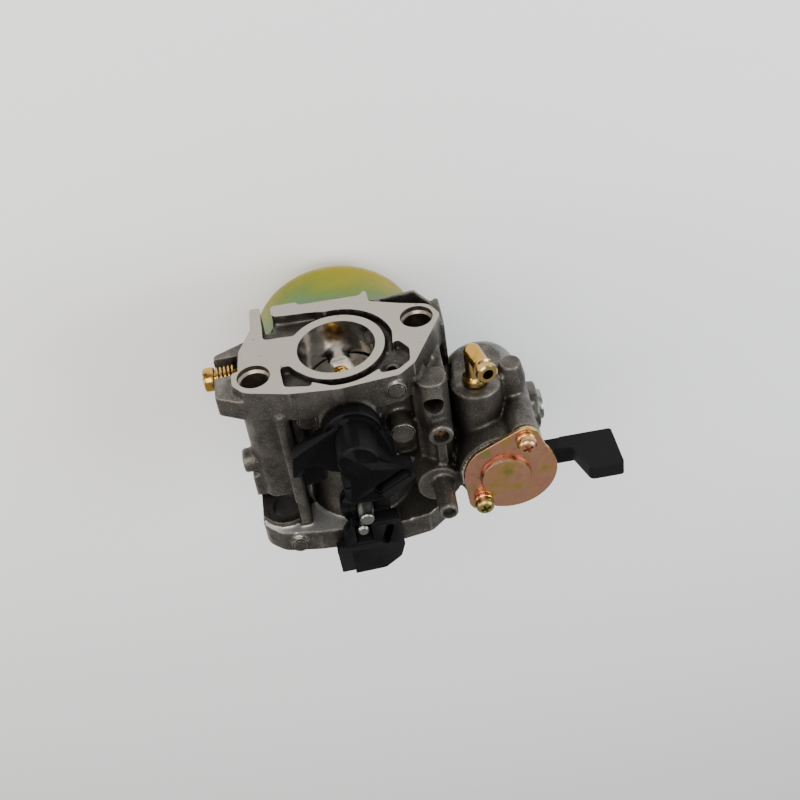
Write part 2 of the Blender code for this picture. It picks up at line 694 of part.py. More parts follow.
def valve_gasket():
    disc = rod(
        (TAP_X, TAP_Y, TAP_FLOOR + 0.1),
        (TAP_X, TAP_Y, TAP_FLOOR + 1.3),
        TAP_WELL_R - 0.3,
        sides=28,
        name="valve_gasket",
    )
    ports = [
        rod(
            (TAP_X + 3.4 * math.cos(a), TAP_Y + 3.4 * math.sin(a), 10.0),
            (TAP_X + 3.4 * math.cos(a), TAP_Y + 3.4 * math.sin(a), 15.0),
            1.2,
            sides=10,
        )
        for a in (math.radians(140 + 90 * k) for k in range(4))
    ]
    return cut(disc, *ports)


def valve_wave_spring():
    """The waved washer that presses the lever down on its gasket."""
    waves, rise, low = 3, 0.35, TAP_RIM - 0.7
    bm = bmesh.new()
    count = 36
    rings = []
    for k in range(count):
        a = 2 * math.pi * k / count
        z = low + rise * math.sin(waves * a)
        section = ((3.4, 0), (5.2, 0), (5.2, 0.3), (3.4, 0.3))
        places = [(TAP_X + r * math.cos(a), TAP_Y + r * math.sin(a), z + t) for r, t in section]
        rings.append([bm.verts.new(place) for place in places])
    for k in range(count):
        here, after = rings[k], rings[(k + 1) % count]
        for j in range(4):
            bm.faces.new((here[j], here[(j + 1) % 4], after[(j + 1) % 4], after[j]))
    return to_object("valve_wave_spring", bm)


def cover_outline(inset=0.0):
    """The cover's outline: a round plate with an ear at each screw."""
    centre, radius = (36.3, -32.4), 11.5 - inset
    (ux, uy), (lx, ly) = COVER_SCREWS
    ear = 3.6 - inset
    return (
        arc(centre, radius, -118, 38, 20)
        + arc((ux, uy), ear, 30, 125, 6)
        + arc(centre, radius, 128, 176, 6)
        + arc((lx, ly), ear, 190, 250, 5)
    )


def valve_cover_plate():
    """The pressed cover: flat round the screws, with a raised disc over the lever's hub."""
    low = TAP_RIM + GAP
    plate = slab(cover_outline(), low, low + COVER_T, "Z", "valve_cover_plate")
    disc = rod((TAP_X, TAP_Y, low + 0.5), (TAP_X, TAP_Y, low + COVER_T + COVER_RISE), 6.3, 6.1, sides=36)
    hollow = rod((TAP_X, TAP_Y, low - 1), (TAP_X, TAP_Y, low + COVER_RISE), 5.3, sides=32)
    holes = [rod((x, y, 15.0), (x, y, 25.0), 1.7, sides=16) for x, y in COVER_SCREWS]
    return cut(union(plate, disc), hollow, *holes)


def cover_washer(name, x, y):
    low = TAP_RIM + GAP + COVER_T + 0.05
    return turned([(2.4, low + 0.9), (2.4, low), (1.65, low), (1.65, low + 0.9)], (x, y, 0), "Z", 20, name)


def cover_screw(name, x, y):
    """A cross-recess pan-head screw."""
    seat = TAP_RIM + GAP + COVER_T + 1.0
    head = turned(
        [
            (0.0, 2.3), (1.2, 2.25), (2.0, 1.8), (2.4, 1.0), (2.4, 0.0), (1.25, 0.0), (1.25, -8.4),
            (0.9, -9.0), (0.0, -9.0),
        ],
        (x, y, seat), "Z", 20, name,
    )
    slots = [
        box((x - 1.4, y - 0.35, seat + 0.9), (x + 1.4, y + 0.35, seat + 4)),
        box((x - 0.35, y - 1.4, seat + 0.9), (x + 0.35, y + 1.4, seat + 4)),
    ]
    return cut(head, *slots)


def fuel_inlet_elbow():
    """The pressed-in inlet: a collar, a short tube, and a barbed mouth that leans outwards."""
    x, z = 31.4, 6.9
    corner = Vector((x, -3.2, z))
    lean = math.radians(14)
    elbow = turned(
        [
            (0.0, 9.0), (2.1, 9.0), (2.1, 2.4), (3.1, 1.2), (3.1, 0.1), (1.75, 0.1), (1.75, -5.0),
            (0.0, -5.0),
        ],
        (x, -12.2, z), "Y", 20, "fuel_inlet_elbow",
    )
    spout = turned(
        [
            (0.0, 9.2), (2.3, 9.2), (2.5, 7.8), (2.05, 7.7), (2.05, 6.9), (2.5, 6.7), (2.05, 5.2),
            (2.05, 0.0), (0.0, 0.0),
        ],
        corner, "Z", 20,
    )
    turn_about(spout, corner, "Y", lean)
    mouth = corner + Vector((math.sin(lean), 0, math.cos(lean))) * 10.2
    joined = union(elbow, spout, ball(corner, 2.12))
    return cut(joined, rod((x, -18.0, z), corner, 1.15, sides=12), rod(corner, mouth, 1.3, sides=14))


def ball(centre, radius):
    bm = bmesh.new()
    bmesh.ops.create_uvsphere(
        bm, u_segments=16, v_segments=10, radius=radius, matrix=Matrix.Translation(centre)
    )
    return to_object("ball", bm)


def strainer_cup():
    """The sediment cup under the tap, with a hex boss on its floor."""
    z = CUP_BOTTOM
    cup = turned(
        [(0.0, z), (CUP_R - 2.6, z), (CUP_R - 0.8, z + 0.8), (CUP_R, z + 2.6), (CUP_R, CUP_TOP - 0.6),
         (7.9, CUP_TOP - 0.6), (7.9, CUP_TOP - 5.0), (7.9, z + 3.4), (6.4, z + 1.8), (0.0, z + 1.8)][::-1],
        (TAP_X, TAP_Y, 0), "Z", 28, "strainer_cup",
    )
    hexagon = rod((TAP_X, TAP_Y, z - 2.6), (TAP_X, TAP_Y, z + 0.5), 5.4, sides=6)
    collar = turned(
        [(7.3, CUP_TOP + 3.6), (7.3, CUP_TOP - 2.0), (5.9, CUP_TOP - 2.0), (5.9, CUP_TOP + 3.6)],
        (TAP_X, TAP_Y, 0),
        "Z",
        24,
    )
    rim = turned(
        [(8.2, CUP_TOP - 0.8), (8.2, CUP_TOP - 2.4), (6.5, CUP_TOP - 2.4), (6.5, CUP_TOP - 0.8)],
        (TAP_X, TAP_Y, 0),
        "Z",
        28,
    )
    return union(cup, hexagon, collar, rim)


def strainer_cup_seal():
    return turned(
        [(9.0, CUP_TOP + 0.3), (9.0, CUP_TOP - 0.3), (7.8, CUP_TOP - 0.3), (7.8, CUP_TOP + 0.3)],
        (TAP_X, TAP_Y, 0),
        "Z",
        24,
        "strainer_cup_seal",
    )


def strainer_screen():
    inside, outside = 4.9, 5.5
    return turned(
        [(0.0, -12.4), (inside, -12.2), (inside, -3.0), (outside, -3.0), (outside, -13.0), (0.0, -13.0)],
        (TAP_X, TAP_Y, 0), "Z", 24, "strainer_screen",
    )


def fuel_passage_plug():
    return turned(
        [(0.0, 1.1), (3.4, 1.0), (3.8, 0.5), (3.8, 0.0), (0.0, 0.0)],
        (46.9 + GAP / 3, -29.5, 0.6),
        "X",
        24,
        "fuel_passage_plug",
    )


# ---- float chamber ----------------------------------------------------------
def float_bowl():
    """The drawn steel bowl, with a flared rim and holes for its bolt and drain."""
    r, wall, z, bend = BOWL_R, BOWL_WALL, BOWL_BOTTOM, 5.5
    swings = [math.radians(30 * k) for k in range(4)]
    outer = [(r - bend + bend * math.cos(a), z + bend - bend * math.sin(a)) for a in swings]
    inner = [
        (r - bend + (bend - wall) * math.cos(a), z + bend - (bend - wall) * math.sin(a))
        for a in swings
    ]
    rim = [(r - wall, BOWL_TOP), (r + 0.9, BOWL_TOP), (r + 0.9, BOWL_TOP - 1.0), (r, BOWL_TOP - 1.4)]
    profile = rim + outer + [(3.4, z), (3.4, z + wall)] + inner[::-1]
    bowl = turned(profile, (0, BOWL_Y, 0), "Z", 40, "float_bowl")
    boss = rod((-12.5, BOWL_Y, z + 0.2), (-12.5, BOWL_Y, z + 3.2), 4.6, sides=16)
    hole = rod((-12.5, BOWL_Y, z - 1), (-12.5, BOWL_Y, z + 6), 2.3, sides=12)
    return cut(union(bowl, boss), hole)


def float_bowl_seal():
    return turned(
        [(20.7, -18.2), (20.7, DECK_BOTTOM - 0.4), (19.2, DECK_BOTTOM - 0.4), (19.2, -18.2)],
        (0, BOWL_Y, 0),
        "Z",
        32,
        "float_bowl_seal",
    )


def hex_bolt(name, x, y, top, across, head, shank_r, shank):
    """A hex bolt that goes up, with its head's upper face at the given height."""
    bolt = rod((x, y, top - head), (x, y, top), across / math.sqrt(3), sides=6, name=name)
    flange = rod((x, y, top - 0.9), (x, y, top + 0.05), across / 2 + 0.9, sides=24)
    stem = rod((x, y, top - 0.5), (x, y, top + shank), shank_r, sides=18)
    return union(bolt, flange, stem)


def washer(name, x, y, low, outer, inner):
    return turned(
        [(outer, low + 0.8), (outer, low), (inner, low), (inner, low + 0.8)], (x, y, 0), "Z", 24, name
    )


def main_jet():
    """The brass main jet at the foot of the post."""
    jet = turned(
        [(0.0, 4.6), (2.45, 4.6), (2.45, 0.4), (2.0, 0.0), (0.0, 0.0)],
        (0, NOZZLE_Y, -26.6),
        "Z",
        20,
        "main_jet",
    )
    return cut(
        jet,
        rod((0, NOZZLE_Y, -28), (0, NOZZLE_Y, -20), 0.4, sides=10),
        box((-3, NOZZLE_Y - 0.3, -27.5), (3, NOZZLE_Y + 0.3, -26.0)),
    )


def emulsion_tube():
    """The brass tube that carries fuel from the main jet into the throat, with its rows of air holes."""
    tube = turned(
        [(1.25, -3.8), (2.0, -3.8), (2.0, -17.2), (2.45, -17.4), (2.45, -21.6), (1.25, -21.6)],
        (0, NOZZLE_Y, 0), "Z", 20, "emulsion_tube",
    )
    rows = [rod((-3, NOZZLE_Y, z), (3, NOZZLE_Y, z), 0.4, sides=8) for z in (-11.0, -13.2, -15.4)]
    rows += [rod((0, NOZZLE_Y - 3, z), (0, NOZZLE_Y + 3, z), 0.4, sides=8) for z in (-12.1, -14.3)]
    return cut(tube, *rows)


def pilot_jet():
    jet = turned(
        [(0.0, 5.6), (1.6, 5.6), (1.6, 0.6), (1.0, 0.0), (0.0, 0.0)],
        (20.9, -18.5, 10.0),
        "Z",
        16,
        "pilot_jet",
    )
    return cut(
        jet,
        rod((20.9, -18.5, 8), (20.9, -18.5, 20), 0.45, sides=10),
        box((18, -18.8, 14.9), (24, -18.2, 18)),
    )


def float_piece():
    """The hollow plastic float: a horseshoe with two hinge lugs and the tab that lifts the needle."""
    outer, inner, low, high = 17.2, 7.2, -33.6, -25.2
    ring = arc((0, BOWL_Y), outer, 38, 322, 20) + arc((0, BOWL_Y), inner, 322, 38, 12)
    pieces = []
    for side in (-1, 1):
        y = BOWL_Y + side * 10.4
        pieces.append(box((5.0, y - 1.1, high - 0.8), (FLOAT_PIN_X + 1.6, y + 1.1, high + 1.0)))
        pieces.append(
            box((FLOAT_PIN_X - 1.6, y - 1.0, high - 0.6), (FLOAT_PIN_X + 1.6, y + 1.0, FLOAT_PIN_Z + 1.6))
        )
    pieces.append(
        box((NEEDLE_X - 1.8, BOWL_Y - 11.0, high - 0.7), (NEEDLE_X + 1.6, BOWL_Y + 11.0, high + 0.6))
    )
    whole = union(slab(ring, low, high, "Z", "float"), *pieces)
    bore = rod(
        (FLOAT_PIN_X, BOWL_Y - 14, FLOAT_PIN_Z), (FLOAT_PIN_X, BOWL_Y + 14, FLOAT_PIN_Z), 0.87, sides=12
    )
    return turn_about(cut(whole, bore), (FLOAT_PIN_X, BOWL_Y, FLOAT_PIN_Z), "Y", FLOAT_DROP)


def float_pin():
    start, end = (FLOAT_PIN_X, BOWL_Y - 12.2, FLOAT_PIN_Z), (FLOAT_PIN_X, BOWL_Y + 12.2, FLOAT_PIN_Z)
    return rod(start, end, 0.76, sides=12, name="float_pin")


def needle_seat():
    profile = [(2.05, -16.5), (2.05, -20.4), (1.55, -20.4), (1.55, -18.4), (0.8, -17.4), (0.8, -16.5)]
    return turned(profile, (NEEDLE_X, BOWL_Y, 0), "Z", 18, "needle_seat")


def needle_valve():
    """The needle, with a soft cone at its tip and a round foot that stands on the float's tab."""
    foot = -24.4
    profile = [(0.0, -17.7), (0.5, -17.8), (1.3, -19.1), (1.3, foot + 0.8), (0.7, foot), (0.0, foot)]
    return turned(profile, (NEEDLE_X, BOWL_Y, NEEDLE_DROP), "Z", 16, "needle_valve")


# ---- pilot screw ------------------------------------------------------------
def pilot_screw():
    """The idle mixture screw: a cheese head with a slot, a threaded shank, and a tapered point."""
    screw = turned(
        [
            (0.0, -2.7), (2.6, -2.7), (2.95, -2.3), (2.95, -0.2), (2.7, 0.0), (1.85, 0.0),
            (1.85, 14.0), (1.1, 14.6), (1.1, 17.0), (0.3, 18.6), (0.0, 18.6),
        ][::-1],
        (PILOT_HEAD_X + 2.7, PILOT_Y, PILOT_Z), "X", 24, "pilot_screw",
    )
    slot = box(
        (PILOT_HEAD_X - 1, PILOT_Y - 4, PILOT_Z - 0.45), (PILOT_HEAD_X + 1.1, PILOT_Y + 4, PILOT_Z + 0.45)
    )
    return cut(screw, slot)


def pilot_screw_spring():
    """The coil spring that keeps the pilot screw from turning by itself."""
    turns, per_turn, radius, wire = 5, 10, 2.45, 0.35
    start, end = PILOT_HEAD_X + 3.2, -24.8
    curve = bpy.data.curves.new("pilot_screw_spring", "CURVE")
    curve.dimensions = "3D"
    curve.bevel_depth = wire * MM
    curve.bevel_resolution = 1
    curve.use_fill_caps = True
    spline = curve.splines.new("POLY")
    count = turns * per_turn
    spline.points.add(count)
    for k, point in enumerate(spline.points):
        a = 2 * math.pi * k / per_turn
        x = start + (end - start) * k / count
        point.co = (
            x * MM, (PILOT_Y + radius * math.cos(a)) * MM, (PILOT_Z + radius * math.sin(a)) * MM, 1.0
        )
    obj = bpy.data.objects.new("pilot_screw_spring", curve)
    bpy.context.scene.collection.objects.link(obj)
    return obj


# ---- assembly ---------------------------------------------------------------
def pivot(name, point, parts):
    """An empty at a point in mm, to be the axis of a moving body."""
    empty = bpy.data.objects.new(name, None)
    empty.empty_display_size = 0.005
    empty.location = Vector(point) * MM
    parts.objects.link(empty)
    return empty


def finish(obj, surface, parts, parent=None):
    """Names the mesh, dresses the piece, puts it in the parts collection and hangs it on its pivot."""
    for owner in list(obj.users_collection):
        owner.objects.unlink(obj)
    parts.objects.link(obj)
    obj.data.materials.clear()
    obj.data.materials.append(surface)
    obj.data.name = obj.name
    if obj.type == "MESH":
        obj.data.shade_smooth()
        obj.data.set_sharp_from_angle(angle=math.radians(35))
    if parent:
        obj.parent = parent
        obj.matrix_parent_inverse = Matrix.Translation(-parent.location)
    return obj


def main():
    clear_scene()
    looks = make_materials()
    parts = collection("carburetor")
    (ux, uy), (lx, ly) = COVER_SCREWS
    throttle = pivot("throttle_axis", (0, THROTTLE_Y, 0), parts)
    choke = pivot("choke_axis", (0, CHOKE_Y, 0), parts)
    tap = pivot("fuel_valve_axis", (TAP_X, TAP_Y, TAP_FLOOR), parts)
    hinge = pivot("float_axis", (FLOAT_PIN_X, BOWL_Y, FLOAT_PIN_Z), parts)
    needle = pivot("needle_axis", (NEEDLE_X, BOWL_Y, -21.0), parts)
    pilot = pivot("pilot_screw_axis", (PILOT_HEAD_X, PILOT_Y, PILOT_Z), parts)
    pieces = [
        (body_casting(), "cast_aluminium", None),
        (throttle_seal(), "rubber", None),
        (fuel_inlet_elbow(), "zinc_yellow", None),
        (valve_cover_plate(), "zinc_yellow", None),
        (cover_washer("valve_cover_washer_upper", ux, uy), "zinc_yellow", None),
        (cover_washer("valve_cover_washer_lower", lx, ly), "zinc_yellow", None),
        (cover_screw("valve_cover_screw_upper", ux, uy), "zinc_yellow", None),
        (cover_screw("valve_cover_screw_lower", lx, ly), "zinc_yellow", None),
        (valve_gasket(), "rubber", None),
        (valve_wave_spring(), "steel", None),
        (strainer_cup(), "zinc_clear", None),
        (strainer_cup_seal(), "rubber", None),
        (strainer_screen(), "steel", None),
        (fuel_passage_plug(), "zinc_clear", None),
        (float_bowl(), "zinc_yellow", None),
        (float_bowl_seal(), "rubber", None),
        (hex_bolt("bowl_bolt", 0, BOWL_Y, BOWL_BOTTOM - 1.4, 10.0, 4.4, 2.4, 10.0), "zinc_yellow", None),
        (washer("bowl_bolt_washer", 0, BOWL_Y, BOWL_BOTTOM - 1.1, 5.6, 2.8), "steel", None),
        (hex_bolt("drain_bolt", -12.5, BOWL_Y, BOWL_BOTTOM - 1.4, 8.0, 4.0, 2.0, 4.4), "zinc_yellow", None),
        (washer("drain_bolt_washer", -12.5, BOWL_Y, BOWL_BOTTOM - 1.1, 4.8, 2.4), "steel", None),
        (main_jet(), "brass", None),
        (emulsion_tube(), "brass", None),
        (pilot_jet(), "brass", None),
        (needle_seat(), "brass", None),
        (float_pin(), "steel", None),
        (throttle_shaft(), "steel", throttle),
        (throttle_plate(), "brass", throttle),
        (throttle_plate_screw(), "zinc_yellow", throttle),
        (throttle_lever(), "black_plastic", throttle),
        (choke_shaft(), "zinc_clear", choke),
        (choke_plate(), "brass", choke),
        (choke_plate_screw("choke_plate_screw_upper", 4.0), "zinc_yellow", choke),
        (choke_plate_screw("choke_plate_screw_lower", -4.0), "zinc_yellow", choke),
        (choke_lever(), "black_plastic", choke),
        (fuel_valve_lever(), "black_plastic", tap),
        (float_piece(), "black_plastic", hinge),
        (needle_valve(), "brass", needle),
        (pilot_screw_spring(), "zinc_yellow", pilot),
        (pilot_screw(), "zinc_yellow", pilot),
    ]
    for obj, surface, parent in pieces:
        finish(obj, looks[surface], parts, parent)


main()
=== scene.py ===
"""The looks of a small-engine carburetor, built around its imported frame.

Sizes are in millimetres in the part's own frame: the origin is the centre of the bore on the engine
flange, +Y points out of that flange, +Z towards the levers, and +X towards the fuel tap.
"""

import logging
import math
from dataclasses import dataclass, field
from enum import Enum
from typing import Callable, Sequence

import bpy
from mathutils import Matrix, Vector


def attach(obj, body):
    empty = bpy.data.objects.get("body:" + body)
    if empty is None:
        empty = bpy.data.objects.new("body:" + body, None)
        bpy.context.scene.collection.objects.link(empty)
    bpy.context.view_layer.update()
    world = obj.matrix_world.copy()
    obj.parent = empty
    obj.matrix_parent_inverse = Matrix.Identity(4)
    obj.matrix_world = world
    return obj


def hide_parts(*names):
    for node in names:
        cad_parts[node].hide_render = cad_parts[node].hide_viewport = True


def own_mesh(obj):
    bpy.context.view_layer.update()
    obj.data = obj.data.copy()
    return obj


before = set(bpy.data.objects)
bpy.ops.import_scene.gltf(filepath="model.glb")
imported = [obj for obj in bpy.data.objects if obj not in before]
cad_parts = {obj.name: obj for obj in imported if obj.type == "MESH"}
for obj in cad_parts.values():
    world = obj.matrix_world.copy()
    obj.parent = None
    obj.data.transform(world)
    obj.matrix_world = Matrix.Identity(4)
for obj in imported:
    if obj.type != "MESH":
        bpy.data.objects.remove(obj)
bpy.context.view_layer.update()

MM = 0.001
LOG = logging.getLogger("carburetor")

Point = tuple[float, float, float]
Spot = tuple[float, float]

STUDS: tuple[Spot, Spot] = ((-20.19, 5.79), (20.19, -5.79))
THROTTLE_Y = -11.5
CHOKE_Y = -38.0
NOZZLE_Y = -25.0
BOWL_Y = -25.0
TAP_X, TAP_Y = 35.0, -32.4
TAP_RIM = 18.6
COVER_SCREWS: tuple[Spot, Spot] = ((40.5, -21.9), (29.0, -39.8))
CUP_TOP = -7.0
THROTTLE_IDLE = math.radians(8.0)


class Axis(Enum):
    """The axis that a turned or extruded shape stands along."""

    X = "X"
    Y = "Y"
    Z = "Z"

    def matrix(self) -> Matrix:
        """The turn from +Z to this axis."""
        if self is Axis.X:
            return Matrix.Rotation(math.radians(90), 4, "Y")
        if self is Axis.Y:
            return Matrix.Rotation(math.radians(-90), 4, "X")
        return Matrix.Identity(4)


# ---- modelling tools --------------------------------------------------------
def deselect_all() -> None:
    """Leaves edit mode and deselects everything."""
    if bpy.context.object and bpy.context.object.mode != "OBJECT":
        bpy.ops.object.mode_set(mode="OBJECT")
    bpy.ops.object.select_all(action="DESELECT")


def pick(*objects: bpy.types.Object) -> None:
    """Selects only these objects, with the first one active."""
    deselect_all()
    for obj in objects:
        obj.select_set(True)
    bpy.context.view_layer.objects.active = objects[0]


def settle(obj: bpy.types.Object, name: str) -> bpy.types.Object:
    """Moves the object's place into its mesh and names both.

    Args:
        obj: The object, which stands where its piece belongs.
        name: The new name.

    Returns:
        The same object, at the origin.
    """
    pick(obj)
    bpy.ops.object.transform_apply(location=True, rotation=True, scale=True)
    obj.name = name
    obj.data.name = name
    return obj


def block(low: Point, high: Point, edge: float = 0.0, name: str = "block") -> bpy.types.Object:
    """A box between two corners, with bevelled edges where an edge width is given."""
    deselect_all()
    middle = [(a + b) / 2 * MM for a, b in zip(low, high)]
    size = [(b - a) * MM for a, b in zip(low, high)]
    bpy.ops.mesh.primitive_cube_add(size=1, location=middle, scale=size)
    obj = settle(bpy.context.object, name)
    if edge:
        bpy.ops.object.mode_set(mode="EDIT")
        bpy.ops.mesh.select_all(action="SELECT")
        bpy.ops.mesh.bevel(offset=edge * MM, segments=3)
        bpy.ops.object.mode_set(mode="OBJECT")
    return obj


def drum(
    start: Point,
    end: Point,
    radius: float,
    end_radius: float | None = None,
    sides: int = 48,
    name: str = "drum",
) -> bpy.types.Object:
    """A cylinder or a cone frustum between two points."""
    deselect_all()
    first, last = Vector(start) * MM, Vector(end) * MM
    turn = Vector((0, 0, 1)).rotation_difference(last - first).to_euler()
    bpy.ops.mesh.primitive_cone_add(
        vertices=sides,
        radius1=radius * MM,
        radius2=(radius if end_radius is None else end_radius) * MM,
        depth=(last - first).length,
        location=(first + last) / 2,
        rotation=turn,
    )
    return settle(bpy.context.object, name)


def ball(centre: Point, radius: float, name: str = "ball") -> bpy.types.Object:
    """A sphere."""
    deselect_all()
    bpy.ops.mesh.primitive_uv_sphere_add(
        segments=32, ring_count=16, radius=radius * MM, location=Vector(centre) * MM
    )
    return settle(bpy.context.object, name)


def plate(
    outline: Sequence[
        Spot
    ], low: float, high: float, axis: Axis = Axis.Z, edge: float = 0.0, name: str = "plate"
) -> bpy.types.Object:
    """A flat outline extruded between two heights.

    Args:
        outline: The corners, as (x, y) along Z, (x, z) along Y, or (y, z) along X.
        low: The first height.
        high: The second height.
        axis: The axis that the plate is extruded along.
        edge: The width of the round on its rims.
        name: The piece's name.

    Returns:
        The new object.
    """
    deselect_all()
    bpy.ops.mesh.primitive_circle_add(vertices=len(outline), radius=0.01, fill_type="NGON")
    obj = bpy.context.object
    rise = (high - low) * MM
    for vertex, (u, v) in zip(obj.data.vertices, outline):
        if axis is Axis.Z:
            vertex.co = Vector((u, v, low)) * MM
        elif axis is Axis.Y:
            vertex.co = Vector((u, low, v)) * MM
        else:
            vertex.co = Vector((low, u, v)) * MM
    move = {Axis.Z: (0, 0, rise), Axis.Y: (0, rise, 0), Axis.X: (rise, 0, 0)}[axis]
    bpy.ops.object.mode_set(mode="EDIT")
    bpy.ops.mesh.select_all(action="SELECT")
    bpy.ops.mesh.extrude_region_move(TRANSFORM_OT_translate={"value": move})
    bpy.ops.mesh.select_all(action="SELECT")
    bpy.ops.mesh.normals_make_consistent(inside=False)
    bpy.ops.object.mode_set(mode="OBJECT")
    settle(obj, name)
    if edge:
        soften(obj, edge)
    return obj


def turned(
    profile: Sequence[Spot], centre: Point, axis: Axis = Axis.Z, steps: int = 64, name: str = "turned"
) -> bpy.types.Object:
    """A closed profile of (radius, height) points spun once around an axis.

    Args:
        profile: The corners in order. The loop closes by itself, on the axis where both ends have radius 0.
        centre: Where height 0 lies on the axis.
        axis: The direction of the heights.
        steps: How many steps make the full turn.
        name: The piece's name.

    Returns:
        The new object.
    """
    deselect_all()
    bpy.ops.mesh.primitive_circle_add(vertices=len(profile), radius=0.01, fill_type="NOTHING")
    obj = bpy.context.object
    for vertex, (radius, height) in zip(obj.data.vertices, profile):
        vertex.co = Vector((radius, 0, height)) * MM
    bpy.ops.object.mode_set(mode="EDIT")
    bpy.ops.mesh.select_all(action="SELECT")
    bpy.ops.mesh.spin(steps=steps, angle=2 * math.pi, center=(0, 0, 0), axis=(0, 0, 1))
    bpy.ops.mesh.select_all(action="SELECT")
    bpy.ops.mesh.remove_doubles(threshold=0.000002)
    bpy.ops.mesh.dissolve_degenerate(threshold=0.000001)
    bpy.ops.mesh.delete_loose(use_verts=True, use_edges=True, use_faces=False)
    bpy.ops.mesh.select_all(action="SELECT")
    bpy.ops.mesh.normals_make_consistent(inside=False)
    bpy.ops.object.mode_set(mode="OBJECT")
    obj.matrix_world = Matrix.Translation(Vector(centre) * MM) @ axis.matrix()
    return settle(obj, name)


def apply_modifier(obj: bpy.types.Object, kind: str, **settings: object) -> bpy.types.Object:
    """Adds one modifier and applies it."""
    pick(obj)
    modifier = obj.modifiers.new(kind.title(), kind)
    for key, value in settings.items():
        setattr(modifier, key, value)
    bpy.ops.object.modifier_apply(modifier=modifier.name)
    return obj


def soften(obj: bpy.types.Object, width: float, segments: int = 3, angle: float = 35.0) -> bpy.types.Object:
    """Rounds the edges that are sharper than an angle in degrees."""
    return apply_modifier(
        obj, "BEVEL", width=width * MM, segments=segments, limit_method="ANGLE", angle_limit=math.radians(
            angle
        ),
        use_clamp_overlap=True,
    )


def combine(
    target: bpy.types.Object, tools: Sequence[bpy.types.Object], operation: str
) -> bpy.types.Object:
    """Unites the tools with the target, or cuts them from it, and removes them."""
    group = bpy.data.collections.new("tools")
    for tool in tools:
        group.objects.link(tool)
    apply_modifier(
        target, "BOOLEAN", operation=operation, solver="EXACT", operand_type="COLLECTION",
        collection=group,
    )
    for tool in tools:
        bpy.data.objects.remove(tool)
    bpy.data.collections.remove(group)
    return target


def unite(target: bpy.types.Object, *tools: bpy.types.Object) -> bpy.types.Object:
    """The union of the target and the tools."""
    return combine(target, tools, "UNION")


def carve(target: bpy.types.Object, *tools: bpy.types.Object) -> bpy.types.Object:
    """The target without the tools."""
    return combine(target, tools, "DIFFERENCE")


def turn_about(obj: bpy.types.Object, point: Point, axis: str, angle: float) -> bpy.types.Object:
    """Turns a finished mesh around a point."""
    centre = Vector(point) * MM
    obj.data.transform(
        Matrix.Translation(centre) @ Matrix.Rotation(angle, 4, axis) @ Matrix.Translation(-centre)
    )
    return obj


def smooth(obj: bpy.types.Object, angle: float = 32.0) -> bpy.types.Object:
    """Shades the piece smooth, apart from edges sharper than an angle in degrees."""
    pick(obj)
    bpy.ops.object.shade_smooth_by_angle(angle=math.radians(angle))
    return obj


def rounded(corners: Sequence[Sequence[float]], radius: float, steps: int = 6) -> list[Spot]:
    """The outline with its corners turned into arcs. A corner may carry its own radius as a third number."""
    outline: list[Spot] = []
    count = len(corners)
    for i in range(count):
        here = Vector(corners[i][:2])
        before = Vector(corners[i - 1][:2]) - here
        after = Vector(corners[(i + 1) % count][:2]) - here
        size = corners[i][2] if len(corners[i]) > 2 else radius
        half = before.angle(after) / 2
        if size <= 0 or math.degrees(half) > 88:
            outline.append((here.x, here.y))
            continue
        reach = min(size / math.tan(half), 0.49 * before.length, 0.49 * after.length)
        start = here + before.normalized() * reach
        end = here + after.normalized() * reach
        for k in range(steps + 1):
            t = k / steps
            spot = (1 - t) ** 2 * start + 2 * t * (1 - t) * here + t**2 * end
            outline.append((spot.x, spot.y))
    return outline


def arc(centre: Spot, radius: float, first: float, last: float, steps: int) -> list[Spot]:
    """Points on an arc from one angle to another, in degrees."""
    angles = [math.radians(first + (last - first) * k / steps) for k in range(steps + 1)]
    return [(centre[0] + radius * math.cos(a), centre[1] + radius * math.sin(a)) for a in angles]


def slot_outline(centre: Spot, length: float, width: float, angle: float) -> list[Spot]:
    """A slot with round ends, by its middle, overall length, width, and angle in degrees."""
    reach = (length - width) / 2
    spots = arc((reach, 0), width / 2, -90, 90, 10) + arc((-reach, 0), width / 2, 90, 270, 10)
    turn = Matrix.Rotation(math.radians(angle), 2)
    return [tuple(turn @ Vector(spot) + Vector(centre)) for spot in spots]


